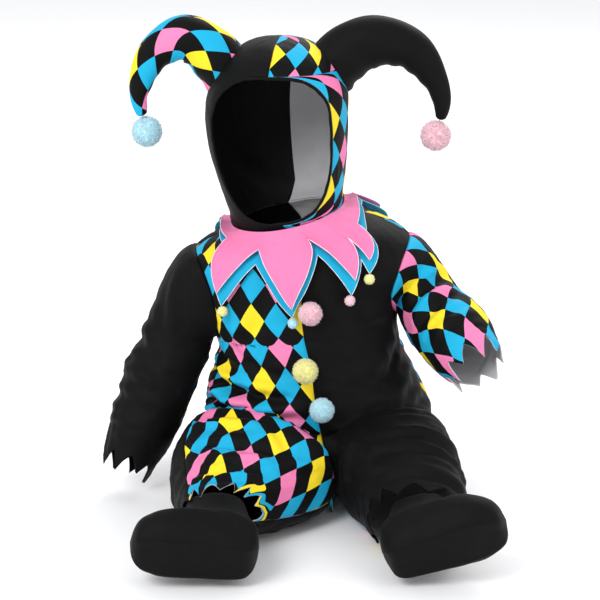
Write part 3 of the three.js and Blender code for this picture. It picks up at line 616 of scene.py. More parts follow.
def grid_faces(rows: int, columns: int, wrap: bool = False, flip: bool = False) -> Array:
    """Quads between the points of a grid.

    Args:
        rows: number of rows of points.
        columns: number of points in a row.
        wrap: whether the last column is joined to the first.
        flip: whether the faces are turned over.

    Returns:
        Four corner numbers a face.
    """
    numbers = np.arange(rows * columns).reshape(rows, columns)
    if wrap:
        numbers = np.concatenate([numbers, numbers[:, :1]], axis=1)
    corners = [numbers[:-1, :-1], numbers[1:, :-1], numbers[1:, 1:], numbers[:-1, 1:]]
    return np.stack(corners[::-1] if flip else corners, -1).reshape(-1, 4)


def tube_faces(rows: int, columns: int) -> tuple[Array, Array]:
    """Quads of a grid whose last column lies on its first, as on a tube.

    Args:
        rows: number of rows of points.
        columns: number of points in a row, the doubled one too.

    Returns:
        The quads with every point's own number, for flat places, and the quads in which the
        last column's points are the first column's.
    """
    quads = grid_faces(rows, columns)
    number = np.arange(rows * columns).reshape(rows, columns)
    number[:, -1] = number[:, 0]
    return quads, number.reshape(-1)[quads]


def solidify(item: bpy.types.Object, thickness: float, inner_slot: int = 0) -> None:
    """Gives a cloth its thickness inwards.

    Args:
        item: the piece.
        thickness: wall in millimetres.
        inner_slot: material slot of the inner face and the rim.
    """
    wall = item.modifiers.new("Thickness", "SOLIDIFY")
    wall.thickness = thickness * MM
    wall.offset = -1
    wall.use_even_offset = False
    wall.material_offset = inner_slot
    wall.material_offset_rim = inner_slot


def socket(group: bpy.types.NodeTree, name: str, kind: str, output: bool = False) -> None:
    """Adds a named input or output to a node group."""
    group.interface.new_socket(name=name, in_out="OUTPUT" if output else "INPUT", socket_type=kind)


class NodeDraft:
    """Short calls for making and linking the nodes of one tree."""

    def __init__(self, tree: bpy.types.NodeTree) -> None:
        """Keeps the tree."""
        self.tree = tree

    def add(self, kind: str, **inputs: object) -> bpy.types.Node:
        """Adds a node.

        Args:
            kind: the node's type.
            inputs: settings of the node by name; other names are its inputs.

        Returns:
            The new node.
        """
        node = self.tree.nodes.new(kind)
        for name, value in inputs.items():
            if hasattr(node, name):
                setattr(node, name, value)
            else:
                self.feed(node.inputs[name], value)
        return node

    def feed(self, entry: bpy.types.NodeSocket, value: object) -> None:
        """Links a socket to an input, or sets the input's own value."""
        if isinstance(value, bpy.types.NodeSocket):
            self.tree.links.new(value, entry)
        else:
            entry.default_value = value

    def math(self, operation: str, *values: object) -> bpy.types.NodeSocket:
        """The result of one arithmetic step."""
        node = self.add("ShaderNodeMath", operation=operation)
        for place, value in enumerate(values):
            self.feed(node.inputs[place], value)
        return node.outputs[0]

    def mix(self, factor: object, first: object, second: object) -> bpy.types.NodeSocket:
        """Colour between first and second."""
        node = self.add("ShaderNodeMix", data_type="RGBA")
        self.feed(node.inputs[0], factor)
        self.feed(node.inputs[6], first)
        self.feed(node.inputs[7], second)
        return node.outputs[2]


@dataclass(frozen=True)
class Harlequin:
    """Printed diamonds that touch at their tips, on a black ground.

    Places of the flat cloth are counted in diamonds, a across and b down. The lines a + b and
    a - b, at whole numbers and a half, are the diamonds' sides. A cell whose two numbers add up
    to an even one is coloured, and an odd one is black. Rows take turns between pink and blue
    and between blue and yellow, with blue on every other column.
    """

    width: float = 25.5
    height: float = 38.5

    def group(self) -> bpy.types.NodeTree:
        """The print as a node group.

        Returns:
            A group from a flat place in millimetres to a colour.
        """
        tree = bpy.data.node_groups.new("HarlequinPrint", "ShaderNodeTree")
        socket(tree, "Flat", "NodeSocketVector")
        socket(tree, "Color", "NodeSocketColor", output=True)
        draft = NodeDraft(tree)
        entry = draft.add("NodeGroupInput").outputs["Flat"]
        part = draft.add("ShaderNodeSeparateXYZ")
        draft.feed(part.inputs[0], entry)
        a = draft.math("DIVIDE", part.outputs[0], self.width)
        b = draft.math("DIVIDE", part.outputs[1], self.height)
        first = draft.math("ROUND", draft.math("ADD", a, b))
        second = draft.math("ROUND", draft.math("SUBTRACT", a, b))
        total = draft.math("ADD", first, second)
        dark = draft.math("FLOORED_MODULO", total, 2.0)
        column = draft.math("MULTIPLY", total, 0.5)
        row = draft.math("MULTIPLY", draft.math("SUBTRACT", first, second), 0.5)
        odd_row = draft.math("FLOORED_MODULO", row, 2.0)
        odd_both = draft.math("FLOORED_MODULO", draft.math("ADD", column, row), 2.0)
        other = draft.mix(odd_row, (*Hue.PINK.value, 1), (*Hue.YELLOW.value, 1))
        coloured = draft.mix(odd_both, (*Hue.BLUE.value, 1), other)
        colour = draft.mix(dark, coloured, (*Hue.BLACK.value, 1))
        leave = draft.add("NodeGroupOutput")
        draft.feed(leave.inputs["Color"], colour)
        return tree


def knit_group() -> bpy.types.NodeTree:
    """Loops of a fine knit: columns of stitches crossed by rows.

    Returns:
        A group from a flat place and the stitches' pitch to their height and a slow wear mask.
    """
    tree = bpy.data.node_groups.new("KnitLoops", "ShaderNodeTree")
    socket(tree, "Flat", "NodeSocketVector")
    socket(tree, "Pitch", "NodeSocketFloat")
    socket(tree, "Height", "NodeSocketFloat", output=True)
    socket(tree, "Wear", "NodeSocketFloat", output=True)
    draft = NodeDraft(tree)
    entry = draft.add("NodeGroupInput")
    part = draft.add("ShaderNodeSeparateXYZ")
    draft.feed(part.inputs[0], entry.outputs["Flat"])
    turn = draft.math("DIVIDE", 2 * math.pi, entry.outputs["Pitch"])
    wale = draft.math("SINE", draft.math("MULTIPLY", part.outputs[0], turn))
    course = draft.math("SINE", draft.math("MULTIPLY", part.outputs[1], turn))
    low_course = draft.math("MULTIPLY", draft.math("ABSOLUTE", course), 0.6)
    loops = draft.math("ADD", draft.math("ABSOLUTE", wale), low_course)
    cloud = draft.add("ShaderNodeTexNoise", Scale=0.045, Detail=3.0)
    draft.feed(cloud.inputs["Vector"], entry.outputs["Flat"])
    leave = draft.add("NodeGroupOutput")
    draft.feed(leave.inputs["Height"], loops)
    draft.feed(leave.inputs["Wear"], cloud.outputs["Fac"])
    return tree


@dataclass(frozen=True)
class Knit:
    """Smooth polyester knit, plain or printed."""

    name: str
    hue: Optional[Hue]
    roughness: float = 0.7
    sheen: float = 0.08
    specular: float = 0.11
    pitch: float = 0.9
    depth: float = 0.12
    bump: float = 0.25
    sheen_roughness: float = 0.4
    dull: float = 0.86
    bright: float = 1.06
    bright_least: float = 0.001

    def make(self, loops: bpy.types.NodeTree,
             print_group: Optional[bpy.types.NodeTree] = None) -> bpy.types.Material:
        """The finished material.

        Args:
            loops: node group of the knit's stitches.
            print_group: node group of the print, or None for a plain colour.

        Returns:
            A material that reads the piece's flat places.
        """
        material = bpy.data.materials.new(self.name)
        material.use_nodes = True
        draft = NodeDraft(material.node_tree)
        shader = material.node_tree.nodes["Principled BSDF"]
        flat = draft.add("ShaderNodeUVMap", uv_map="Flat").outputs["UV"]
        stitches = draft.add("ShaderNodeGroup", node_tree=loops, Pitch=self.pitch)
        draft.feed(stitches.inputs["Flat"], flat)
        if print_group is not None:
            pattern = draft.add("ShaderNodeGroup", node_tree=print_group)
            draft.feed(pattern.inputs["Flat"], flat)
            draft.feed(shader.inputs["Base Color"], pattern.outputs["Color"])
        else:
            colour = self.hue.value
            dull = tuple(self.dull * part for part in colour)
            bright = tuple(min(self.bright * part + self.bright_least, 1) for part in colour)
            tone = draft.mix(stitches.outputs["Wear"], (*dull, 1), (*bright, 1))
            draft.feed(shader.inputs["Base Color"], tone)
        bump = draft.add("ShaderNodeBump", Strength=self.bump, Distance=self.depth * MM)
        draft.feed(bump.inputs["Height"], stitches.outputs["Height"])
        draft.feed(shader.inputs["Normal"], bump.outputs["Normal"])
        shader.inputs["Roughness"].default_value = self.roughness
        shader.inputs["Sheen Weight"].default_value = self.sheen
        shader.inputs["Sheen Roughness"].default_value = self.sheen_roughness
        shader.inputs["Specular IOR Level"].default_value = self.specular
        return material


@dataclass(frozen=True)
class Pile:
    """Soft pile of the pompoms: matt, with light that runs round its edge."""

    name: str
    hue: Hue
    clump_scale: float = 420.0
    shade: float = 0.9
    roughness: float = 0.95
    sheen: float = 0.6
    sheen_roughness: float = 0.6
    specular: float = 0.1

    def make(self) -> bpy.types.Material:
        """The finished material, with painted shade: a noise darkens the colour in patches, for the shade
        between the locks.

        Returns:
            A material that reads Object coordinates.
        """
        material = bpy.data.materials.new(self.name)
        material.use_nodes = True
        draft = NodeDraft(material.node_tree)
        shader = material.node_tree.nodes["Principled BSDF"]
        place = draft.add("ShaderNodeTexCoord").outputs["Object"]
        clumps = draft.add("ShaderNodeTexNoise", Scale=self.clump_scale, Detail=2.0)
        draft.feed(clumps.inputs["Vector"], place)
        colour = self.hue.value
        # painted shade: the clump noise mixes the colour down to this darker copy, for shade between the
        # locks
        dark = tuple(self.shade * part for part in colour)
        tone = draft.mix(clumps.outputs["Fac"], (*dark, 1), (*colour, 1))
        draft.feed(shader.inputs["Base Color"], tone)
        shader.inputs["Roughness"].default_value = self.roughness
        shader.inputs["Sheen Weight"].default_value = self.sheen
        shader.inputs["Sheen Roughness"].default_value = self.sheen_roughness
        shader.inputs["Specular IOR Level"].default_value = self.specular
        return material


class Workshop:
    """All finishes of the costume, made once."""

    def __init__(self) -> None:
        """Makes the node groups and the materials."""
        loops = knit_group()
        printed = Knit("harlequin_print_knit", None, roughness=0.62, sheen=0.02)
        self.print = printed.make(loops, Harlequin().group())
        self.wrong_side = Knit("print_wrong_side", Hue.WRONG_SIDE, roughness=0.8).make(loops)
        self.black = Knit("black_knit", Hue.BLACK, roughness=0.62, sheen=0.012).make(loops)
        self.pink = Knit("pink_knit", Hue.PINK, roughness=0.6).make(loops)
        self.blue = Knit("blue_knit", Hue.BLUE, roughness=0.6).make(loops)
        self.white = Knit("white_thread", Hue.THREAD, roughness=0.7).make(loops)
        tape = Knit("black_tape", Hue.BLACK, roughness=0.85, sheen=0.03, pitch=1.6, depth=0.4)
        self.tape = tape.make(loops)
        self.pile = {hue: Pile(f"pile_{hue.name.lower()}", hue).make()
                     for hue in (Hue.PALE_PINK, Hue.PALE_YELLOW, Hue.PALE_BLUE)}

    def dress(self, item: bpy.types.Object, *materials: bpy.types.Material) -> None:
        """Gives an object its materials in order."""
        for material in materials:
            item.data.materials.append(material)

    def finish(self, item: bpy.types.Object, node: str, slot: str, *materials: bpy.types.Material) -> None:
        """Dresses an object and puts it in place of its solid.

        Args:
            item: the object.
            node: the solid that it replaces.
            slot: name of its main finish; not used.
            materials: its materials in order.
        """
        self.dress(item, *materials)
        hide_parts(node)

    def knit(self, node: str) -> tuple[bpy.types.Material, bpy.types.Material, str]:
        """Outer material, wrong side and slot of a suit or hood piece, by its name's last word."""
        if node.endswith("print"):
            return self.print, self.wrong_side, "print_knit"
        return self.black, self.black, "black_knit"


@dataclass
class Suit:
    """Suit body: fronts, backs and legs in one, with set-in sleeves, on one skin."""

    quarter_steps: int = 56
    above_steps: int = 16
    armhole_steps: int = 40
    below_steps: int = 44
    leg_steps: int = 66
    cap_steps: int = 22
    sleeve_steps: int = 54
    wall: float = 1.2
    armholes: dict[Side, tuple[float, float, float]] = field(default_factory=lambda: {
        Side.RIGHT: (2.7, 6.6, 2.7),
        Side.LEFT: (2.7, 5.75, 2.7),
    })
    armhole_power: float = 0.9
    cap_pull: float = 0.8
    inseam: dict[Side, int] = field(default_factory=lambda: {Side.RIGHT: 17, Side.LEFT: 15})
    curl: float = 2.2
    point_lean: float = 0.1
    point_round: float = 1.15
    point_uneven: float = 0.16
    cuff_points: tuple[float, float, int] = (15, -4, 8)
    cuff_reach: int = 9
    hem_points: tuple[float, float, int] = (11, -3, 11)
    hem_reach: int = 10
    names: dict[Side, dict[str, str]] = field(default_factory=lambda: {
        Side.RIGHT: {
            "front": "front_right_print",
            "back": "back_right_black",
            "sleeve": "sleeve_right_black",
        },
        Side.LEFT: {
            "front": "front_left_black",
            "back": "back_left_print",
            "sleeve": "sleeve_left_print",
        },
    })
    sheets: dict[str, tuple[float, float, float]] = field(default_factory=lambda: {
        "front": (0.21, 0.52, 0.068),
        "back": (0.24, 0.50, 0.084),
        "sleeve": (0.27, 0.20, 0.042),
    })

    def side_rows(self, side: Side) -> tuple[Array, Array, Array]:
        """Rows down one side.

        Args:
            side: the wearer's side.

        Returns:
            The torso row of each, how far the armhole cuts in, and where the hole is.
        """
        top, bottom, reach = self.armholes[side]
        above = np.linspace(0, top, self.above_steps, endpoint=False)
        turn = np.linspace(0, np.pi, self.armhole_steps + 1)
        hole = (top + bottom) / 2 - (bottom - top) / 2 * np.cos(turn)
        below = np.linspace(bottom, HIP_ROW, self.below_steps + 1)[1:]
        rows = np.concatenate([above, hole, below])
        cut = np.zeros_like(rows)
        inside = slice(self.above_steps, self.above_steps + self.armhole_steps + 1)
        cut[inside] = reach * np.abs(np.sin(turn)) ** self.armhole_power
        mark = np.zeros_like(rows, bool)
        mark[inside] = True
        return rows, cut, mark

    def lay_torso(self, skin: ClothSkin, side: Side) -> Array:
        """Front and back panels of one side.

        Rows run from a height that both sides share at the centre seams to the armhole's own;
        columns run from the centre seam to the armhole or the side seam.

        Args:
            skin: the skin that takes the panels.
            side: the wearer's side.

        Returns:
            The armhole's edge: from its foot up the front and down the back.
        """
        rows, cut, mark = self.side_rows(side)
        other = self.side_rows(Side(-side.value))[0]
        share = np.linspace(0, 1, self.quarter_steps + 1)
        shared = (rows + other) / 2
        grids = {}
        for part, towards in (("front", share), ("back", 1 - share)):
            start = np.zeros_like(cut) if part == "front" else SIDE + cut
            end = SIDE - cut if part == "front" else np.full_like(cut, HALF)
            column = start[:, None] + (end - start)[:, None] * share
            row = shared[:, None] + (rows - shared)[:, None] * towards
            grid = torso_point(side, column, row)
            grids[part] = grid
            centre = grid if part == "front" else grid[:, ::-1]
            across = arc_lengths(centre, 1) * side.value
            across = across if part == "front" else across[:, ::-1]
            down = arc_lengths(grid, 0).mean(axis=1)[:, None] + np.zeros_like(across)
            owners = np.full((len(rows) - 1, self.quarter_steps), skin.owner(self.names[side][part]))
            flip = side is Side.RIGHT
            name = f"{part}_{side.name.lower()}"
            skin.add(Panel(name, grid, np.stack([across, down], -1), owners, flip))
        front, back = grids["front"][mark, -1], grids["back"][mark, 0]
        return np.concatenate([front[::-1], back[1:]])

    def leg_controls(self, side: Side, column: Array) -> Array:
        """Control points of a leg.

        A ring is a rounded oval, flattened where it rests and turned about the upright.

        Args:
            side: the wearer's side.
            column: places round the leg.

        Returns:
            For each column a point before the hip, the hip, the rings and a point past the hem.
        """
        over = column <= HALF
        crotch = CROTCH_LINE.points(np.clip(column - HALF, 0, CROTCH))
        hip = np.where(over[:, None], torso_point(side, column, np.full_like(column, HIP_ROW)), crotch)
        angle = np.radians(np.interp(column, LEG_COLUMNS, LEG_ANGLES[side]))
        rings = []
        for ring in LEGS[side].values:
            x, y, z, wide, tall, turn = ring
            out = wide * boxy(np.sin(angle))
            cosine = np.cos(angle)
            low = -np.abs(cosine) ** FLOOR_FLAT
            up = tall * np.where(cosine < 0, low, boxy(cosine))
            bend = math.radians(turn)
            aside = side.value * out * math.cos(bend)
            rings.append(np.stack([x + aside, y + out * math.sin(bend), z + up], -1))
        body = torso_point(side, np.minimum(column, HALF), np.full_like(column, HIP_ROW - 1))
        front = torso_point(side, np.zeros_like(column), np.full_like(column, HIP_ROW - 1))
        body = np.where((column > HALF + CROTCH / 2)[:, None], front, body)
        near = np.maximum(1 - (column - HALF), 1 - (HALF + CROTCH - column))
        near = np.where(over, 1.0, np.clip(near, 0, 1))[:, None]
        before = near * body + (1 - near) * (2 * hip - rings[0])
        after = 2 * rings[-1] - rings[-2]
        return np.stack([before, hip, *rings, after])

    def lay_leg(self, skin: ClothSkin, side: Side) -> None:
        """A leg: smooth curves through its rings, from the hip and the crotch to a pointed hem.

        The flat places are measured across from the thigh's top line, so that the print runs
        straight down the thigh.

        Args:
            skin: the skin that takes the panel.
            side: the wearer's side.
        """
        fine = self.quarter_steps // SIDE
        column = np.linspace(0, HALF + CROTCH, (HALF + CROTCH) * fine + 1)
        control = self.leg_controls(side, column)
        control[:, -1] = control[:, 0]
        rings = len(LEGS[side].values)
        row = np.linspace(0, 1, self.leg_steps + 1) * rings
        low = np.minimum(np.floor(row).astype(int), rings - 1)
        near = [control[low + step] for step in range(4)]
        grid = cubic(*near, (row - low)[:, None, None])
        grid[..., 2] = np.maximum(grid[..., 2], 0)
        grid = self.point_edge(grid, self.hem_points, self.hem_reach)
        torso = skin.panels[f"front_{side.name.lower()}"]
        across = arc_lengths(grid, 1)
        whole = across[:, -1:]
        across = np.where(column[None, :] > self.inseam[side], across - whole, across) * side.value
        start = torso.flat[-1, 0, 1]
        down = arc_lengths(grid, 0).mean(axis=1)[:, None] + start + np.zeros_like(across)
        across += across[:1, THIGH_TOP * fine] - across[:, THIGH_TOP * fine, None]
        middle = (column[:-1] + column[1:]) / 2
        front = (middle < SIDE) | (middle >= self.inseam[side])
        names = self.names[side]
        owner = np.where(front, skin.owner(names["front"]), skin.owner(names["back"]))
        owners = np.repeat(owner[None, :], self.leg_steps, axis=0)
        name = f"leg_{side.name.lower()}"
        skin.add(Panel(name, grid, np.stack([across, down], -1), owners, side is Side.RIGHT))

    def point_edge(self, grid: Array, points: tuple[float, float, int], reach: int) -> Array:
        """Cuts the last row of a tube into points.

        The edge moves along the cloth by a triangle wave round the tube, from the valley to the
        tip and back for each point. Points differ a little in length, lean to one side and curl
        out or in; rows before the edge follow less and less.

        Args:
            grid: rows and columns of the tube.
            points: how far tip and valley stand out, and the number of points.
            reach: how many rows follow.

        Returns:
            The grid with its pointed edge.
        """
        tip, valley, count = points
        share = np.linspace(0, 1, grid.shape[1]) * count
        number = np.floor(share % count)
        skewed = (share % 1) + self.point_lean * np.sin(np.pi * (share % 1)) * np.sin(2.4 * number)
        wave = (1 - np.abs(2 * skewed - 1)) ** self.point_round
        uneven = 1 + self.point_uneven * np.sin(3.7 * number + 1)
        stand = valley + (tip * uneven - valley) * wave
        along = unit(grid[-1] - grid[-3])
        out = unit(grid[-1] - grid[-1].mean(axis=0))
        follow = np.clip((np.arange(len(grid)) - (len(grid) - 1 - reach)) / reach, 0, 1)[:, None, None]
        curl = self.curl * np.sin(2.9 * number) * wave
        drawn = follow ** 1.3 * (along * stand[:, None])[None]
        return grid + drawn + follow ** 2 * (out * curl[:, None])[None]

    def lay_sleeve(self, skin: ClothSkin, side: Side, edge: Array) -> None:
        """A sleeve: a cap that leaves the armhole sideways, then rings down to the pointed cuff.

        Args:
            skin: the skin that takes the panel.
            side: the wearer's side.
            edge: the armhole's edge.
        """
        table = SLEEVES[side]
        rows = np.linspace(0, len(table.values) - 1, self.sleeve_steps + 1)
        sizes = table.points(rows)
        centres, rounds = sizes[:, :3], sizes[:, 3]
        along = unit(np.gradient(centres, axis=0))
        up, front = carried_frames(along, np.array([side.value, 0, 0.4]), np.array([0, -1.0, 0]))
        turn = np.linspace(0, 2 * np.pi, len(edge))
        rings = (
            centres[:, None]
            - rounds[:, None, None] * np.cos(turn)[None, :, None] * up[:, None]
            + rounds[:, None, None] * np.sin(turn)[None, :, None] * front[:, None]
        )
        rings = self.point_edge(rings, self.cuff_points, self.cuff_reach)
        share = np.linspace(0, 1, self.cap_steps, endpoint=False)[:, None, None]
        pull = np.linalg.norm(rings[0] - edge, axis=1, keepdims=True) * self.cap_pull
        leave = np.array([side.value, 0, 0]) * pull
        arrive = along[0] * pull
        s2, s3 = share ** 2, share ** 3
        cap = (
            edge * (2 * s3 - 3 * s2 + 1) + leave * (s3 - 2 * s2 + share)
            + rings[0] * (3 * s2 - 2 * s3) + arrive * (s3 - s2)
        )
        grid = np.concatenate([cap, rings])
        round_arm = arc_lengths(rings, 1)[:, -1].mean()
        across = np.linspace(0, 1, len(edge))[None, :] * round_arm + np.zeros((len(grid), 1))
        down = arc_lengths(grid, 0).mean(axis=1)[:, None] + np.zeros_like(across)
        owners = np.full((len(grid) - 1, len(edge) - 1), skin.owner(self.names[side]["sleeve"]))
        name = f"sleeve_{side.name.lower()}"
        skin.add(Panel(name, grid, np.stack([across, down], -1), owners, side is Side.RIGHT))

    def lay(self, skin: ClothSkin) -> None:
        """Puts all panels of the suit on the skin."""
        for side in Side:
            edge = self.lay_torso(skin, side)
            self.lay_leg(skin, side)
            self.lay_sleeve(skin, side, edge)

    def cut(self, skin: ClothSkin, shop: Workshop) -> list[bpy.types.Object]:
        """Cuts the six pieces from the skin and dresses them.

        Args:
            skin: the welded skin with its folds.
            shop: the finishes.

        Returns:
            The six pieces.
        """
        made = []
        for side in Side:
            for part, node in self.names[side].items():
                item = cut_piece(skin, shop, node, self.wall)
                made.append(item)
        return made


def carried_frames(along: Array, up: Array, front: Array) -> tuple[Array, Array]:
    """Directions across a path, carried along it without twist.

    Args:
        along: direction of the path at each ring.
        up: direction across the first ring.
        front: the other direction across the first ring.

    Returns:
        Both directions at each ring.
    """
    ups, fronts = [], []
    for way in along:
        up = unit(up - way * (up @ way))
        front = front - way * (front @ way)
        front = unit(front - up * (front @ up))
        ups.append(up)
        fronts.append(front)
    return np.array(ups), np.array(fronts)


def cut_piece(skin: ClothSkin, shop: Workshop, node: str, wall: float) -> bpy.types.Object:
    """One piece of cloth cut from a skin, in place of its solid.

    Args:
        skin: the skin.
        shop: the finishes.
        node: name of the solid.
        wall: thickness in millimetres.

    Returns:
        The dressed piece.
    """
    points, quads, flats = skin.piece(node)
    faces, places = split_faces(quads, flats)
    item = make_object(f"cloth_{node}", points, faces, places)
    outer, inner, slot = shop.knit(node)
    solidify(item, wall, inner_slot=1)
    shop.finish(item, node, slot, outer, inner)
    log.info("cut %s: %d faces", node, len(faces))
    return item


@dataclass
class Hood:
    """Hood in two halves with a bound face opening."""

    columns: int = 84
    neck_steps: int = 6
    face_steps: int = 48
    crown_steps: int = 26
    face_bottom: float = 0.55
    face_top: float = 7.15
    half_angle: float = 57
    turn: float = -8
    turn_rows: float = 1.5
    square_top: float = 2.7
    square_chin: float = 2.1
    wall: float = 1.2
    binding_wide: float = 3.6
    binding_thick: float = 2.4
    binding_sides: int = 14
    binding_uneven: tuple[float, float] = (0.07, 0.05)
    edge: Optional[Array] = None
    names: dict[Side, str] = field(default_factory=lambda: {
        Side.RIGHT: "hood_right_black",
        Side.LEFT: "hood_left_print",
    })

    def rows(self) -> tuple[Array, Array, Array]:
        """Rows up the hood.

        Returns:
            The rows, how far the face opening reaches in degrees, and where it is open.
        """
        turn = np.linspace(0, np.pi, self.face_steps + 1)
        cosine = np.cos(turn)
        power = 2 / np.where(cosine > 0, self.square_chin, self.square_top)
        middle = (self.face_top + self.face_bottom) / 2
        half = (self.face_top - self.face_bottom) / 2
        hole = middle - half * np.sign(cosine) * np.abs(cosine) ** power
        opened = self.half_angle * np.abs(np.sin(turn)) ** power
        neck = np.linspace(0, self.face_bottom, self.neck_steps, endpoint=False)
        crown = np.linspace(self.face_top, len(HOOD.values) - 1, self.crown_steps + 1)[1:]
        rows = np.concatenate([neck, hole, crown])
        opening = np.concatenate([neck * 0, opened, crown * 0])
        mark = np.repeat([False, True, False], [len(neck), len(hole), len(crown)])
        return rows, opening, mark

    def lay(self, skin: ClothSkin) -> None:
        """Puts both halves on the skin: rows up the head, columns from the face to the back seam.

        Args:
            skin: the skin that takes the panels.
        """
        rows, opening, mark = self.rows()
        edges = {}
        share = np.linspace(0, 1, self.columns + 1)
        for side in Side:
            degrees = opening[:, None] + (180 - opening)[:, None] * share
            row = rows[:, None] + np.zeros_like(degrees)
            turned = self.turn * np.minimum(row / self.turn_rows, 1)
            grid = ring_point(HOOD.at(row), side.value * degrees + turned)
            across = arc_lengths(grid, 1) * side.value
            down = -arc_lengths(grid, 0)[:, -1:] + np.zeros_like(across)
            owners = np.full((len(rows) - 1, self.columns), skin.owner(self.names[side]))
            name = f"hood_{side.name.lower()}"
            skin.add(Panel(name, grid, np.stack([across, down], -1), owners, side is Side.LEFT))
            edges[side] = grid[mark, 0]
        self.edge = np.concatenate([edges[Side.RIGHT], edges[Side.LEFT][-2:0:-1]])

    def cut(self, skin: ClothSkin, shop: Workshop) -> list[bpy.types.Object]:
        """Cuts both halves and makes the binding.

        Args:
            skin: the welded skin with its folds.
            shop: the finishes.

        Returns:
            The halves and the binding.
        """
        made = []
        for node in self.names.values():
            item = cut_piece(skin, shop, node, self.wall)
            made.append(item)
        made.append(self.binding(skin, shop))
        return made

    def binding(self, skin: ClothSkin, shop: Workshop) -> bpy.types.Object:
        """The rolled binding: a flat oval profile carried round the face opening's raised edge.

        Its width swells and shrinks a little along the way, as a stretched binding does.

        Args:
            skin: the welded skin with its folds.
            shop: the finishes.

        Returns:
            The binding.
        """
        spots = np.round(skin.start_points / WELD).astype(int).tolist()
        keys = {tuple(key): place for place, key in enumerate(spots)}
        numbers = [keys[tuple(key)] for key in np.round(self.edge / WELD).astype(int).tolist()]
        edge, normal = skin.points[numbers], skin.normals()[numbers]
        along = unit(np.roll(edge, -1, axis=0) - np.roll(edge, 1, axis=0))
        inward = unit(np.cross(normal, along))
        if ((edge.mean(axis=0) - edge) * inward).sum() < 0:
            inward = -inward
        sides = np.arange(self.binding_sides)
        turn = np.linspace(0, 2 * np.pi, self.binding_sides, endpoint=False)
        place = np.arange(len(edge))
        quick, slow = self.binding_uneven
        swell = 1 + quick * np.sin(place * 1.7) + slow * np.sin(place * 0.63 + 2)
        reach = self.binding_wide * (0.5 - 0.5 * np.cos(turn)) + 0.1
        lift = self.binding_thick / 2 * np.sin(turn)
        points = (
            edge[:, None]
            + inward[:, None] * (reach[None, :] * swell[:, None])[..., None]
            + normal[:, None] * (lift[None, :] * swell[:, None] - 0.5)[..., None]
        )
        flat = np.stack(np.broadcast_arrays(place[:, None] * 2.0, turn[None, :] * 2.0), -1)
        quads = grid_faces(len(edge), len(turn), wrap=True)
        last = quads[-len(turn):]
        closing = np.stack([last[:, 1], sides, np.roll(sides, -1), last[:, 2]], -1)
        quads = np.concatenate([quads, closing])
        places = flat.reshape(-1, 2)[quads]
        item = make_object("cloth_hood_binding", points.reshape(-1, 3), quads.tolist(), places)
        turn_outwards(item)
        shop.finish(item, "hood_binding", "black_knit", shop.black)
        log.info("bound the face opening")
        return item


def turn_outwards(item: bpy.types.Object) -> None:
    """Turns a closed mesh right side out if its volume is negative.

    Args:
        item: the mesh's object.
    """
    mesh = item.data
    mesh.calc_loop_triangles()
    corners = np.zeros(len(mesh.loop_triangles) * 3, np.int64)
    mesh.loop_triangles.foreach_get("vertices", corners)
    points = np.zeros(len(mesh.vertices) * 3)
    mesh.vertices.foreach_get("co", points)
    a, b, c = points.reshape(-1, 3)[corners.reshape(-1, 3)].transpose(1, 0, 2)
    if (a * np.cross(b, c)).sum() < 0:
        mesh.flip_normals()


@dataclass
class Horns:
    """Two stuffed horns that leave the hood's sides and curl down."""

    sides: int = 64
    steps: int = 110
    depth: float = 0.92
    start: float = 0.75
    groove_depth: float = 0.055
    groove_width: float = 0.1
    pucker: float = 0.035
    slack: tuple[float, float] = (0.02, 0.012)
    end_least: float = 0.02
    end_round: float = 0.35
    names: dict[Side, str] = field(default_factory=lambda: {
        Side.RIGHT: "horn_right_print",
        Side.LEFT: "horn_left_black",
    })

    def surface(self, side: Side) -> tuple[Array, Array]:
        """Points and flat places of a horn.

        Rings stand on the centre line. Along the seams above and below, the ring draws in by a
        narrow groove; inside the curl short puckers run out from the lower seam.

        Args:
            side: the wearer's side.

        Returns:
            Rows and columns of points, and their flat places.
        """
        table = HORNS[side]
        rows = np.linspace(self.start, len(table.values) - 1, self.steps)
        sizes = table.points(rows)
        centres, rounds = sizes[:, :3], sizes[:, 3]
        along = unit(np.gradient(centres, axis=0))
        up, front = carried_frames(along, np.array([-side.value, 0, 1.0]), np.array([0, -1.0, 0]))
        turn = np.linspace(0, 2 * np.pi, self.sides + 1)[None, :]
        length = arc_lengths(centres[:, None], 0)
        lower = (1 + np.cos(turn)) / 2
        groove = np.exp(-((np.sin(turn) / self.groove_width) ** 2))
        pucker = np.sin(length / 4.1 + 1.3 * np.sin(length / 19)) * lower ** 3 * self.pucker
        slow, quick = self.slack
        slack = slow * np.sin(length / 11 + 2 * np.cos(turn)) + quick * np.sin(length / 6.3 + 3 * turn)
        closing = np.sqrt(np.clip((rows[-1] - rows) / self.end_round, 0, 1))[:, None]
        swell = (1 - self.groove_depth * groove + pucker + slack) * np.clip(closing, self.end_least, 1)
        radius = (rounds[:, None] * swell)[..., None]
        points = (
            centres[:, None]
            - radius * np.cos(turn)[..., None] * up[:, None]
            + radius * self.depth * np.sin(turn)[..., None] * front[:, None]
        )
        across = (turn - np.pi) * rounds[:, None]
        down = length + np.zeros_like(across)
        return points, np.stack([across, down], -1)

    def make(self, shop: Workshop) -> list[bpy.types.Object]:
        """Builds and dresses both horns, closed at both ends.

        Args:
            shop: the finishes.

        Returns:
            The two horns.
        """
        made = []
        for side, node in self.names.items():
            points, flat = self.surface(side)
            quads, merged = tube_faces(self.steps, self.sides + 1)
            first = np.arange(self.sides)
            last = first + (self.steps - 1) * (self.sides + 1)
            ends = [first.tolist(), last[::-1].tolist()]
            places = flat.reshape(-1, 2)
            corner_places = [places[quads].reshape(-1, 2), *[places[end] for end in ends]]
            item = make_object(f"horn_{side.name.lower()}", points.reshape(-1, 3), merged.tolist() + ends,
                               np.concatenate(corner_places))
            clean_loose(item)
            turn_outwards(item)
            outer, _, slot = shop.knit(node)
            shop.finish(item, node, slot, outer)
            made.append(item)
            log.info("stuffed %s", node)
        return made


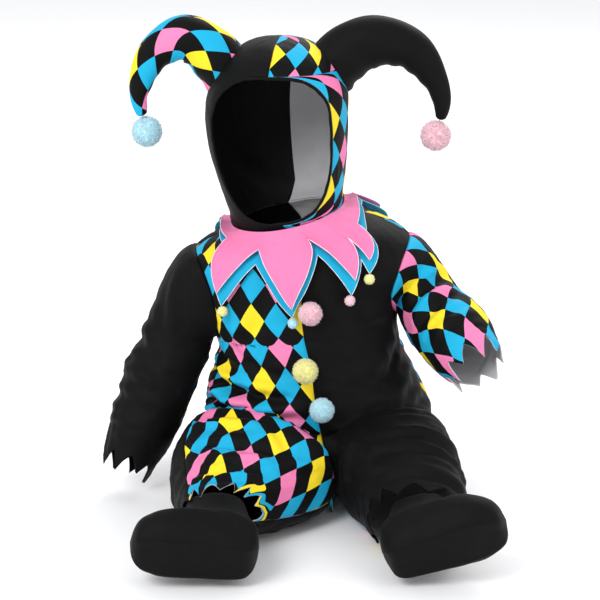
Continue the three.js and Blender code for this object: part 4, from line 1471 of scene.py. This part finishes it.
def clean_loose(item: bpy.types.Object) -> None:
    """Removes points that no face uses.

    Args:
        item: the mesh's object.
    """
    mesh = item.data
    used = np.zeros(len(mesh.loops), np.int64)
    mesh.loops.foreach_get("vertex_index", used)
    loose = np.setdiff1d(np.arange(len(mesh.vertices)), used)
    if len(loose) == 0:
        return
    shape = bmesh.new()
    shape.from_mesh(mesh)
    shape.verts.ensure_lookup_table()
    bmesh.ops.delete(shape, geom=[shape.verts[number] for number in loose], context="VERTS")
    shape.to_mesh(mesh)
    shape.free()


PETAL_COLUMNS = "tip pink_tip blue_tip valley pink_valley blue_valley"
PETALS = Table(PETAL_COLUMNS, [
    (-43.5, 4.45, 4.95, -21, 1.95, 3.0),
    (-3.4, 4.9, 5.22, 6, 1.3, 2.5),
    (22.5, 3.95, 4.5, 26.5, 1.75, 3.0),
    (30.5, 3.12, 3.75, 44, 1.25, 1.65),
    (80, 0.5, 0.7, 108, 0.45, 0.65),
    (134, 2.2, 2.8, 152, 1.4, 2.0),
    (172, 3.9, 4.5, 194, 1.7, 2.3),
    (216, 3.3, 3.9, 240, 1.1, 1.5),
    (274, 0.5, 0.7, 311, 1.4, 1.85),
])
PETAL_HUES = (
    Hue.PALE_YELLOW, Hue.PALE_BLUE, Hue.PALE_PINK, Hue.PALE_YELLOW, None,
    Hue.PALE_BLUE, Hue.PALE_PINK, Hue.PALE_YELLOW, None,
)


def over_torso(degrees: Array, row: Array, lift: Array) -> Array:
    """Points over the torso, moved straight out from it by the lift.

    Args:
        degrees: angle from the front centre towards the wearer's left.
        row: row of the torso's table.
        lift: distance from the torso.

    Returns:
        A point for each angle and row.
    """
    step = 0.05
    here = ring_point(TORSO.at(row), degrees)
    above = ring_point(TORSO.at(np.maximum(row - step, 0)), degrees)
    down = ring_point(TORSO.at(row + step), degrees) - above
    across = ring_point(TORSO.at(row), degrees + 1) - ring_point(TORSO.at(row), degrees - 1)
    return here + unit(np.cross(down, across)) * np.asarray(lift)[..., None]


class Layer(Enum):
    """The two layers of the collar."""

    BLUE = "blue"
    PINK = "pink"


@dataclass
class Collar:
    """Two layers of pointed petals round the neck, the pink over the blue."""

    petal_steps: int = 26
    rows: int = 38
    wall: float = 1.0
    petal_bow: float = 0.12
    gather: float = 0.55
    flutter: float = 1.2
    thread: float = 0.34
    thread_uneven: float = 0.07
    thread_place: float = 5.0
    seeds: dict[Layer, float] = field(default_factory=lambda: {Layer.BLUE: 0.4, Layer.PINK: 1.7})
    least_lift: float = -1.6
    most_lift: float = 2.4
    lifts: dict[Layer, tuple[float, float]] = field(default_factory=lambda: {
        Layer.BLUE: (2.6, 5.0),
        Layer.PINK: (5.1, 6.8),
    })
    cuts: dict[Layer, tuple[float, float]] = field(default_factory=lambda: {
        Layer.BLUE: (0.26, 0.0225), Layer.PINK: (0.24, 0.018),
    })

    def edge(self, layer: Layer) -> tuple[Array, Array]:
        """The petals' edge: from valley to tip and back, bowed out a little on both sides.

        Args:
            layer: which of the two layers.

        Returns:
            Angles round the neck, and the torso row that the edge reaches at each of them.
        """
        table = {name: PETALS.values[:, place] for place, name in enumerate(PETALS.names)}
        tips, tip_rows = table["tip"], table[f"{layer.value}_tip"]
        valleys, valley_rows = table["valley"], table[f"{layer.value}_valley"]
        start = np.roll(valleys, 1)
        start[0] -= 360
        start_rows = np.roll(valley_rows, 1)
        rise = np.linspace(0, 1, self.petal_steps // 2, endpoint=False)
        angles = np.concatenate([
            start[:, None] + (tips - start)[:, None] * rise, tips[:, None] + (valleys - tips)[:, None] * rise,
        ], axis=1).reshape(-1)
        bow = self.petal_bow * np.sin(np.pi * rise)
        rows = np.concatenate([
            start_rows[:, None] + (tip_rows - start_rows)[:, None] * (rise + bow),
            tip_rows[:, None] + (valley_rows - tip_rows)[:, None] * (rise - bow),
        ], axis=1).reshape(-1)
        return np.append(angles, angles[0] + 360), np.append(rows, rows[0])

    def surface(self, layer: Layer) -> tuple[Array, Array]:
        """Points and flat places of one layer.

        The cloth leaves the neck near the suit and stands off more towards its edge, by the
        square of the share. Gathers fan out from the neck as waves that grow and fade, and
        every petal's tip dips or lifts by its own amount.

        Args:
            layer: which of the two layers.

        Returns:
            Rows and columns of points, and their flat places.
        """
        degrees, reach = self.edge(layer)
        near, far = self.lifts[layer]
        share = np.linspace(0, 1, self.rows + 1)[:, None]
        angle = np.radians(degrees)[None, :]
        seed = self.seeds[layer]
        wave = np.sin(13 * angle + seed)
        wave = wave + 0.8 * np.sin(21 * angle + 2.1 * seed) + 0.6 * np.sin(34 * angle + 1 + seed)
        gather = self.gather * wave * np.sin(np.pi * np.clip(share * 0.85 + 0.1, 0, 1))
        flutter = self.flutter * np.sin(5 * angle + seed) * share ** 2
        waves = np.clip(gather + flutter, self.least_lift, self.most_lift)
        lift = near + far * share ** 2 + waves * np.clip(share * 4, 0, 1)
        points = over_torso(degrees[None, :] + 0 * share, reach[None, :] * share, lift)
        across = arc_lengths(points, 1)
        down = arc_lengths(points, 0)
        return points, np.stack([across, down[-1:] - down], -1)

    def make(self, shop: Workshop) -> list[bpy.types.Object]:
        """Builds both layers with their stitched edges.

        Args:
            shop: the finishes.

        Returns:
            The layers, each followed by its edge.
        """
        made = []
        for layer in Layer:
            points, flat = self.surface(layer)
            quads, merged = tube_faces(*points.shape[:2])
            node = f"collar_{layer.value}"
            item = make_object(f"cloth_{node}", points.reshape(-1, 3), merged.tolist(),
                               flat.reshape(-1, 2)[quads].reshape(-1, 2))
            clean_loose(item)
            solidify(item, self.wall)
            shop.finish(item, node, f"{layer.value}_knit", shop.pink if layer is Layer.PINK else shop.blue)
            trim = self.trim(layer, points[-1], shop)
            made += [item, trim]
            log.info("sewed the %s collar", layer.value)
        return made

    def trim(self, layer: Layer, edge: Array, shop: Workshop) -> bpy.types.Object:
        """The overlocked edge: a fine cord of thread laid round the petals, pulled in by stitches.

        Args:
            layer: which of the two layers.
            edge: the layer's last row of points.
            shop: the finishes.

        Returns:
            The edge's thread.
        """
        edge = edge[:-1]
        along = unit(np.roll(edge, -1, axis=0) - np.roll(edge, 1, axis=0))
        out = unit(edge - np.array([-5, 0, 0]) - [0, 0, 1] * edge)
        side = unit(np.cross(along, out))
        turn = np.linspace(0, 2 * np.pi, 7)[:-1]
        stitch = self.thread + self.thread_uneven * np.sin(np.arange(len(edge)) * 2.4)
        round_edge = np.cos(turn)[None, :, None] * out[:, None] + np.sin(turn)[None, :, None] * side[:, None]
        points = edge[:, None] + stitch[:, None, None] * round_edge
        quads = grid_faces(len(edge) + 1, len(turn), wrap=True) % (len(edge) * len(turn))
        item = make_object(f"trim_collar_{layer.value}", points.reshape(-1, 3), quads.tolist(),
                           np.full((quads.size, 2), self.thread_place))
        turn_outwards(item)
        shop.dress(item, shop.white)
        return item


@dataclass(frozen=True)
class Pompom:
    """One pompom: a ball of fine locks round a core."""

    node: str
    centre: Array
    round: float
    hue: Hue
    locks: int
    seed: int
    core_rings: int = 14
    core_sides: int = 24
    core_share: float = 0.8
    shake: float = 1.1
    lean: float = 0.2
    uneven: float = 0.2
    thick: float = 2.1
    root_place: float = 0.5
    root_thick: float = 0.8
    middle_place: float = 0.82
    middle_lean: float = 0.4

    def locks_mesh(self) -> tuple[Array, Array]:
        """Points and faces of the locks.

        Roots lie on an even spiral round the ball and are shaken a little. A lock is a three
        sided spike in two lengths: it starts at the core, leans by a random amount and ends in
        a point near the pile's radius.

        Returns:
            The points, and three corner numbers a face.
        """
        random = np.random.default_rng(self.seed)
        count = self.locks
        place = np.arange(count) + 0.5
        height = 1 - 2 * place / count
        angle = place * math.pi * (3 - math.sqrt(5))
        flat = np.sqrt(1 - height ** 2)
        way = np.stack([flat * np.cos(angle), flat * np.sin(angle), height], -1)
        way = unit(way + random.normal(scale=self.shake / math.sqrt(count), size=(count, 3)))
        lean = unit(way + random.normal(scale=self.lean, size=(count, 3)))
        length = self.round * (1.0 - self.uneven * random.random(count) ** 1.6)
        side = unit(np.cross(way, random.normal(size=(count, 3))))
        other = np.cross(way, side)
        thick = self.round * self.thick / math.sqrt(count)
        spin = np.linspace(0, 2 * np.pi, 4)[:-1]
        around = np.cos(spin)[:, None] * side[:, None] + np.sin(spin)[:, None] * other[:, None]
        root = way[:, None] * self.round * self.root_place + around * thick * self.root_thick
        bent = way * (1 - self.middle_lean) + lean * self.middle_lean
        middle = bent[:, None] * length[:, None, None] * self.middle_place + around * thick
        tip = lean[:, None] * length[:, None, None]
        points = np.concatenate([root, middle, tip], axis=1) + self.centre
        base = 7 * np.arange(count)[:, None, None]
        ring = np.array([[0, 1, 4], [0, 4, 3], [1, 2, 5], [1, 5, 4], [2, 0, 3], [2, 3, 5],
                         [3, 4, 6], [4, 5, 6], [5, 3, 6], [0, 2, 1]])
        return points.reshape(-1, 3), (base + ring[None]).reshape(-1, 3)

    def core_mesh(self) -> tuple[Array, Array]:
        """The ball in the locks: a closed globe of rings.

        Returns:
            The points, and three corner numbers a face.
        """
        rings, sides = self.core_rings, self.core_sides
        polar = np.linspace(0, np.pi, rings + 1)[1:-1, None]
        turn = np.linspace(0, 2 * np.pi, sides, endpoint=False)[None, :]
        wide, high = np.sin(polar), np.cos(polar) + 0 * turn
        globe = np.stack([wide * np.cos(turn), wide * np.sin(turn), high], -1)
        points = np.concatenate([globe.reshape(-1, 3), [[0, 0, 1], [0, 0, -1]]])
        points = points * self.round * self.core_share + self.centre
        quads = grid_faces(rings - 1, sides, wrap=True)
        top, bottom = len(points) - 2, len(points) - 1
        first, second = np.arange(sides), np.roll(np.arange(sides), -1)
        low = (rings - 2) * sides
        above = np.stack([np.full(sides, top), first, second], -1)
        below = np.stack([np.full(sides, bottom), low + second, low + first], -1)
        return points, np.concatenate([quads[:, [0, 1, 2]], quads[:, [0, 2, 3]], above, below])

    def make(self, shop: Workshop) -> bpy.types.Object:
        """Builds the pompom in place of its solid.

        Args:
            shop: the finishes.

        Returns:
            The pompom.
        """
        locks, lock_faces = self.locks_mesh()
        core, core_faces = self.core_mesh()
        points = np.concatenate([locks, core])
        faces = np.concatenate([lock_faces, core_faces + len(locks)])
        item = make_object(self.node.replace("pompom", "pile", 1), points, faces.tolist())
        slot = f"{self.hue.name.lower().replace('pale_', '')}_pile"
        shop.finish(item, self.node, slot, shop.pile[self.hue])
        return item


@dataclass
class Pompoms:
    """All pompoms: two on the horns, three down the front, and one on each long petal."""

    horn_round: float = 17.0
    horn_locks: int = 2600
    front_locks: int = 2200
    petal_round: float = 6.0
    petal_locks: int = 620
    front: tuple[tuple[str, float, float, float, Hue], ...] = (
        ("pompom_front_pink", 5.05, 3.47, 13.0, Hue.PALE_PINK),
        ("pompom_front_yellow", 7.0, -2.19, 14.0, Hue.PALE_YELLOW),
        ("pompom_front_blue", 8.6, 2.06, 13.5, Hue.PALE_BLUE),
    )
    stand: float = -0.4
    gap: float = -0.35

    def plan(self, collar: Collar) -> list[Pompom]:
        """Where each pompom sits: past a horn's tip, on the front's seam, or past a petal's tip.

        Args:
            collar: the collar whose petals carry the small ones.

        Returns:
            Every pompom.
        """
        found = []
        for number, (side, hue, node) in enumerate((
            (Side.RIGHT, Hue.PALE_BLUE, "pompom_horn_blue"), (Side.LEFT, Hue.PALE_PINK, "pompom_horn_pink"),
        )):
            tip, before = HORNS[side].values[-1, :3], HORNS[side].values[-2, :3]
            centre = tip + unit(tip - before) * (self.horn_round + self.gap)
            found.append(Pompom(node, centre, self.horn_round, hue, self.horn_locks, 11 + number))
        for number, (node, row, degrees, size, hue) in enumerate(self.front):
            centre = over_torso(np.array(degrees), np.array(row), size + self.stand)
            found.append(Pompom(node, centre, size, hue, self.front_locks, 21 + number))
        lift = sum(collar.lifts[Layer.BLUE])
        carrying = [(petal, hue) for petal, hue in zip(PETALS.values, PETAL_HUES) if hue is not None]
        for number, (petal, hue) in enumerate(carrying, 1):
            tip, row = np.array(petal[0]), np.array(petal[2])
            end = over_torso(tip, row, lift)
            along = unit(end - over_torso(tip, row - 0.05, lift))
            centre = end + along * (self.petal_round + self.gap)
            node = f"pompom_petal_{number}_{hue.name.lower().replace('pale_', '')}"
            found.append(Pompom(node, centre, self.petal_round, hue, self.petal_locks, 30 + number))
        return found

    def make(self, collar: Collar, shop: Workshop) -> list[bpy.types.Object]:
        """Builds every pompom."""
        made = [pompom.make(shop) for pompom in self.plan(collar)]
        log.info("tied %d pompoms", len(made))
        return made


@dataclass
class Bootie:
    """One soft bootie with a round toe, a sole seam and a gathered ankle."""

    node: str
    heel: tuple[float, float, float]
    toward: tuple[float, float, float]
    lift: tuple[float, float, float]
    ankle: tuple[float, float, float]
    columns: int = 44
    steps: int = 24
    hole_start: float = 1.2
    hole_end: float = 4.8
    hole_half: float = 50
    sole_height: float = 27
    sole_square: float = 1.25
    heel_steps: int = 14
    toe_steps: int = 46
    end_crowd: float = 1.4
    slack: float = 0.5
    shaft_steps: int = 14
    wall: float = 1.2
    sections: Table = field(default_factory=lambda: Table("along across deep rise", [
        (0, 0, 0, 27),
        (3, 17, 15, 27),
        (11, 27, 24, 26),
        (26, 32, 28, 28),
        (48, 34, 28, 28),
        (73, 36, 26, 26),
        (95, 34, 23, 23),
        (111, 26, 18, 20),
        (118, 16, 11, 19),
        (121, 0, 0, 19),
    ]))

    def lay(self, skin: ClothSkin) -> None:
        """Puts both halves and the shaft on the skin.

        Rings run from heel to toe round the foot's line: across by the sine, up by the cosine,
        with the sole's side cut flat. The shaft goes from the ankle hole to the hem's inside.

        Args:
            skin: the skin that takes the panels.
        """
        toward = unit(np.array(self.toward))
        lift = np.array(self.lift)
        lift = unit(lift - toward * (lift @ toward))
        across = unit(np.cross(toward, lift))
        turn = np.linspace(0, np.pi, self.steps + 1)
        middle, half = (self.hole_start + self.hole_end) / 2, (self.hole_end - self.hole_start) / 2
        heel_rows = np.linspace(0, 1, self.heel_steps, endpoint=False) ** self.end_crowd * self.hole_start
        toe_share = 1 - (1 - np.linspace(0, 1, self.toe_steps + 1)[1:]) ** self.end_crowd
        toe_rows = self.hole_end + (len(self.sections.values) - 1 - self.hole_end) * toe_share
        rows = np.concatenate([heel_rows, middle - half * np.cos(turn), toe_rows])
        cut = np.concatenate([heel_rows * 0, self.hole_half * np.sin(turn), toe_rows * 0])
        mark = np.repeat([False, True, False], [len(heel_rows), len(turn), len(toe_rows)])
        size = self.sections.at(rows)
        share = np.linspace(0, 1, self.columns + 1)
        edges = {}
        for side in Side:
            degrees = np.radians(side.value * (180 - cut)[:, None] * share)
            cosine = np.cos(degrees)
            deep = size["deep"][:, None]
            sole = -np.minimum(deep * cosine * self.sole_square, deep)
            level = np.where(cosine > 0, sole, -deep * cosine)
            wide = np.maximum(size["across"], 0)[:, None]
            grid = (
                np.array(self.heel)
                + size["along"][:, None, None] * toward
                + (wide * np.sin(degrees))[..., None] * across
                + ((size["rise"] - self.sole_height)[:, None] + level)[..., None] * lift
            )
            edges[side] = grid[mark, -1]
            down = arc_lengths(grid, 0)[:, :1] + 0 * degrees
            flat = np.stack([arc_lengths(grid, 1) * side.value, down], -1)
            owners = np.full((len(rows) - 1, self.columns), skin.owner(self.node))
            skin.add(Panel(f"{self.node}_{side.name.lower()}", grid, flat, owners, side is Side.RIGHT))
        loop = np.concatenate([edges[Side.RIGHT], edges[Side.LEFT][-2::-1]])
        centre = loop[:-1].mean(axis=0)
        spread = loop - centre
        even = spread - (spread @ lift)[:, None] * lift
        share = np.linspace(0, 1, self.shaft_steps + 1)[:, None, None]
        level = spread + (even - spread) * np.minimum(share * 1.6, 1)
        pinch = 1 - 0.08 * share - 0.05 * np.sin(np.pi * share)
        shaft = centre + (np.array(self.ankle) - centre) * share + level * pinch
        flat = np.stack([arc_lengths(shaft, 1), arc_lengths(shaft, 0) - 60], -1)
        owners = np.full((self.shaft_steps, len(loop) - 1), skin.owner(self.node))
        skin.add(Panel(f"{self.node}_shaft", shaft, flat, owners, False))

    def make(self, shop: Workshop) -> bpy.types.Object:
        """Builds the bootie in place of its solid.

        Args:
            shop: the finishes.

        Returns:
            The bootie.
        """
        skin = ClothSkin()
        self.lay(skin)
        skin.weld()
        skin.raise_by(self.slack * rumple(skin.points, 5, 34, (1, 1, 1)))
        item = cut_piece(skin, shop, self.node, self.wall)
        return item


BOOTIES = (
    Bootie("bootie_right", (-38, -268, 35), (-0.985, -0.02, 0.1), (0.06, 0.93, 0.3), (-76.5, -210, 47.7)),
    Bootie("bootie_left", (77, -266, 30), (0.88, -0.02, 0.3), (-0.05, 0.93, 0.3), (111, -210, 45)),
)


@dataclass
class Fastening:
    """Strip of tape over the centre back seam."""

    top: float = 4.7
    bottom: float = 7.2
    half_width: float = 6
    lift: float = 1.6
    wave: float = 0.25
    rows: int = 48
    columns: int = 12
    wall: float = 1.0

    def make(self, shop: Workshop) -> bpy.types.Object:
        """A strip that follows the back, a little wavy between its stitches.

        Args:
            shop: the finishes.

        Returns:
            The strip.
        """
        row = np.linspace(self.top, self.bottom, self.rows + 1)[:, None]
        share = np.linspace(-1, 1, self.columns + 1)[None, :]
        lift = self.lift + self.wave * np.sin(row * 9) * np.cos(share * 1.5)
        points = over_torso(180 + share * self.half_width + 0 * row, row + 0 * share, lift)
        flat = np.stack([arc_lengths(points, 1), arc_lengths(points, 0)], -1)
        quads = grid_faces(self.rows + 1, self.columns + 1)
        places = flat.reshape(-1, 2)[quads]
        item = make_object("tape_back_fastening", points.reshape(-1, 3), quads.tolist(), places)
        solidify(item, self.wall)
        shop.finish(item, "back_fastening", "black_tape", shop.tape)
        log.info("sewed the fastening on")
        return item


@dataclass(frozen=True)
class Studio:
    """Floor, soft light and the camera; lengths are metres in the part's frame."""

    elevation: float = 17.0
    distance: float = 2.2
    aim: tuple[float, float, float] = (0.0, 0.0, -0.06)
    lens: float = 126.98
    shift_up: float = 0.01
    sight: float = 50
    floor_drop: float = 0.0006
    floor_half: float = 6.0
    paper: tuple[float, float, float, float] = (0.95, 0.95, 0.95, 1)
    paper_roughness: float = 0.9
    sky: tuple[float, float, float, float] = (0.97, 0.975, 1.0, 1)
    sky_strength: float = 0.96
    lamps: tuple[tuple[str, tuple[float, float, float], float, float], ...] = (
        ("key", (-1.1, -1.8, 1.6), 1.0, 34),
        ("fill", (1.9, -1.3, 0.8), 1.6, 10),
        ("rim", (0.6, 1.6, 1.5), 1.2, 22),
    )

    def camera(self) -> None:
        """Camera that looks along +Y and down."""
        data = bpy.data.cameras.new("camera")
        data.lens = self.lens
        data.shift_y = self.shift_up
        data.clip_end = self.sight
        camera = bpy.data.objects.new("camera", data)
        rise = math.radians(self.elevation)
        away = Vector((0, -math.cos(rise), math.sin(rise)))
        camera.location = Vector(self.aim) + away * self.distance
        camera.rotation_euler = (-away).to_track_quat("-Z", "Y").to_euler()
        bpy.context.scene.collection.objects.link(camera)
        bpy.context.scene.camera = camera

    def light(self, name: str, place: tuple[float, float, float], size: float, watts: float) -> None:
        """One large soft lamp that faces the costume.

        Args:
            name: the lamp's name.
            place: where it stands.
            size: width of its square.
            watts: its power.
        """
        data = bpy.data.lights.new(name, "AREA")
        data.size = size
        data.energy = watts
        lamp = bpy.data.objects.new(name, data)
        lamp.location = place
        lamp.rotation_euler = (Vector(self.aim) - Vector(place)).to_track_quat("-Z", "Y").to_euler()
        bpy.context.scene.collection.objects.link(lamp)

    def build(self) -> None:
        """Camera, floor, world and lamps."""
        self.camera()
        half, low = self.floor_half, -HOLD_HEIGHT * MM - self.floor_drop
        mesh = bpy.data.meshes.new("floor")
        corners = [(-half, -half, low), (half, -half, low), (half, half, low), (-half, half, low)]
        mesh.from_pydata(corners, [], [(0, 1, 2, 3)])
        floor = bpy.data.objects.new("floor", mesh)
        bpy.context.scene.collection.objects.link(floor)
        paper = bpy.data.materials.new("floor_paper")
        paper.use_nodes = True
        shader = paper.node_tree.nodes["Principled BSDF"]
        shader.inputs["Base Color"].default_value = self.paper
        shader.inputs["Roughness"].default_value = self.paper_roughness
        mesh.materials.append(paper)
        world = bpy.data.worlds.new("studio")
        world.use_nodes = True
        world.node_tree.nodes["Background"].inputs["Color"].default_value = self.sky
        world.node_tree.nodes["Background"].inputs["Strength"].default_value = self.sky_strength
        bpy.context.scene.world = world
        for lamp in self.lamps:
            self.light(*lamp)
        bpy.context.scene.view_settings.view_transform = "Standard"


FOLD_COLUMNS = "across down to_across to_down width height sag"
FOLDS = (
    ("front_right", "front_right", [
        (1.0, 0.62, 0.42, 0.70, 5, 4.5, 4),
        (1.0, 0.67, 0.14, 0.745, 5, -6.5, 4),
        (0.96, 0.73, 0.06, 0.79, 6, 7.5, 5),
        (1.0, 0.78, 0.10, 0.84, 5, -8.0, 4),
        (0.86, 0.83, 0.20, 0.89, 6, 7.0, 3),
        (0.72, 0.89, 0.30, 0.93, 6, -7.0, 2),
        (0.30, 0.74, 0.52, 0.90, 5, -5.0, 0),
        (0.66, 0.70, 0.80, 0.88, 5, 3.6, 0),
        (0.62, 0.58, 0.12, 0.66, 5, -2.8, 3),
        (0.95, 0.55, 0.45, 0.62, 5, 2.6, 3),
        (0.25, 0.30, 0.58, 0.60, 8, -2.4, 0),
        (0.78, 0.42, 0.50, 0.54, 6, 1.8, 0),
    ]),
    ("front_left", "front_left", [
        (0.95, 0.70, 0.30, 0.78, 8, 4.0, 5),
        (1.0, 0.82, 0.25, 0.86, 7, -4.5, 5),
        (0.75, 0.60, 0.20, 0.68, 7, 2.8, 4),
        (0.30, 0.34, 0.70, 0.64, 8, -2.6, 0),
        (0.90, 0.62, 0.40, 0.72, 5, -3.0, 3),
        (0.60, 0.88, 0.05, 0.92, 5, 3.4, 2),
    ]),
    ("back_right", "back_left", [
        (0.35, 0.66, 0.75, 0.70, 9, 4.0, 5),
    ]),
    ("back_left", "back_left", [
        (0.20, 0.78, 0.90, 0.82, 7, -4.5, 5),
    ]),
    ("back_right", "back_right", [
        (0.75, 0.42, 0.90, 0.66, 9, -3.0, 0),
        (0.20, 0.80, 0.85, 0.86, 7, 3.6, 5),
        (0.10, 0.72, 0.70, 0.77, 5, -3.8, 4),
    ]),
    ("back_left", "back_left", [
        (0.35, 0.52, 0.80, 0.60, 8, 2.4, 3),
        (0.10, 0.68, 0.62, 0.73, 5, 3.8, 4),
    ]),
    ("back_right", "back_right", [
        (0.15, 0.55, 0.60, 0.64, 7, -2.6, 3),
    ]),
    ("leg_right", "leg_right", [
        (0.30, 0.10, 0.04, 0.16, 5.5, 4.4, 0),
        (0.32, 0.20, 0.05, 0.27, 5, -4.6, 0),
        (0.30, 0.34, 0.10, 0.40, 6, 4.4, 0),
        (0.12, 0.36, 0.02, 0.54, 6, -3.6, 0),
        (0.26, 0.50, 0.06, 0.58, 5, -4.4, 0),
        (0.22, 0.62, 0.00, 0.68, 5.5, 4.0, 0),
        (1.0, 0.62, 0.88, 0.50, 5.5, 3.6, 0),
        (0.28, 0.74, 0.06, 0.77, 4.5, -3.4, 0),
        (0.18, 0.85, 0.02, 0.83, 4.5, 3.0, 0),
        (0.34, 0.56, 0.70, 0.62, 8, -4.0, 0),
        (0.36, 0.80, 0.60, 0.76, 7, 3.0, 0),
    ]),
    ("leg_left", "leg_left", [
        (0.02, 0.12, 0.26, 0.16, 6, 4.2, 0),
        (0.04, 0.26, 0.30, 0.24, 5.5, -4.4, 0),
        (0.04, 0.40, 0.32, 0.42, 8, 4.5, 0),
        (0.02, 0.60, 0.30, 0.62, 7, -4.0, 0),
        (0.96, 0.36, 0.80, 0.50, 7, 3.0, 0),
        (0.04, 0.76, 0.28, 0.78, 6, 3.4, 0),
        (0.16, 0.48, 0.34, 0.54, 6, -2.8, 0),
        (0.02, 0.88, 0.24, 0.87, 4.5, -2.8, 0),
        (0.40, 0.60, 0.66, 0.66, 8, 3.4, 0),
    ]),
    ("sleeve_right", "sleeve_right", [
        (0.66, 0.34, 0.30, 0.44, 7, -4.2, 0),
        (0.60, 0.50, 0.22, 0.56, 7, 4.0, 0),
        (0.62, 0.64, 0.26, 0.70, 6, -4.0, 0),
        (0.50, 0.80, 0.24, 0.78, 5, 2.8, 0),
        (0.40, 0.10, 0.26, 0.32, 7, 3.0, 0),
        (0.70, 0.30, 0.92, 0.52, 7, -3.4, 0),
        (0.74, 0.62, 0.98, 0.72, 6, 3.0, 0),
    ]),
    ("sleeve_left", "sleeve_left", [
        (0.44, 0.28, 0.16, 0.40, 6, -4.2, 0),
        (0.40, 0.44, 0.14, 0.50, 6, 4.2, 0),
        (0.36, 0.58, 0.08, 0.60, 5.5, -3.6, 0),
        (0.44, 0.14, 0.26, 0.34, 7, 3.0, 0),
        (0.56, 0.40, 0.78, 0.60, 7, 3.2, 0),
        (0.60, 0.22, 0.90, 0.36, 7, -3.4, 0),
        (0.38, 0.74, 0.14, 0.76, 5, 2.6, 0),
    ]),
    ("hood_left", "hood_left", [
        (0.60, 0.30, 0.90, 0.18, 8, -1.8, 0),
    ]),
    ("hood_right", "hood_right", [
        (0.50, 0.34, 0.92, 0.22, 8, -1.8, 0),
    ]),
    ("hood_left", "hood_left", [
        (0.30, 0.12, 0.70, 0.08, 6, 1.6, 0),
    ]),
    ("hood_right", "hood_right", [
        (0.30, 0.10, 0.74, 0.12, 6, 1.6, 0),
    ]),
)


@dataclass(frozen=True)
class Slack:
    """Uneven slack of the cloth: height, seed, length of its waves and their stretch on X, Y, Z."""

    height: float
    seed: int
    size: float
    stretch: tuple[float, float, float]

    def over(self, points: Array) -> Array:
        """Height at each point."""
        return self.height * rumple(points, self.seed, self.size, self.stretch)


BODY_SLACK = Slack(0.9, 3, 46, (1.5, 1.2, 0.8))
FINE_SLACK = Slack(0.35, 8, 21, (1.4, 1, 0.8))
SLACK_TOP = 250
SLACK_FADE = 60
SEAM_DEPTH = 1.1


def all_folds() -> list[Crease]:
    """The folds of the table.

    Returns:
        One fold for each row, in the table's order.
    """
    found = []
    for start, end, rows in FOLDS:
        for fold in Table(FOLD_COLUMNS, rows).values:
            a, b, c, d, width, height, sag = fold
            found.append(Crease((start, a, b), (end, c, d), width, height, sag))
    return found


def build_skin(suit: Suit, hood: Hood) -> ClothSkin:
    """The whole cloth surface of suit and hood, with its folds and its drawn-in seams.

    Args:
        suit: the suit's body, legs and sleeves.
        hood: the hood's halves.

    Returns:
        The welded skin.
    """
    skin = ClothSkin()
    suit.lay(skin)
    hood.lay(skin)
    skin.weld()
    seam = skin.relax(skin.seam_mask(), 2)
    height = skin.crease_height(all_folds())
    low = np.clip((SLACK_TOP - skin.points[:, 2]) / SLACK_FADE, 0, 1)
    height += low * BODY_SLACK.over(skin.points) + FINE_SLACK.over(skin.points)
    skin.slide_flats(height, 1.0)
    height -= SEAM_DEPTH * seam
    skin.raise_by(height)
    return skin


def main() -> None:
    """Builds the costume in order and reports each piece."""
    logging.basicConfig(level=logging.INFO, format="%(name)s: %(message)s")
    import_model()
    Studio().build()
    shop = Workshop()
    suit, hood, collar = Suit(), Hood(), Collar()
    skin = build_skin(suit, hood)
    made = suit.cut(skin, shop) + hood.cut(skin, shop)
    made += Horns().make(shop)
    made += collar.make(shop)
    made += Pompoms().make(collar, shop)
    made += [bootie.make(shop) for bootie in BOOTIES]
    made.append(Fastening().make(shop))
    log.info("made %d pieces", len(made))


if __name__ == "__main__":
    main()
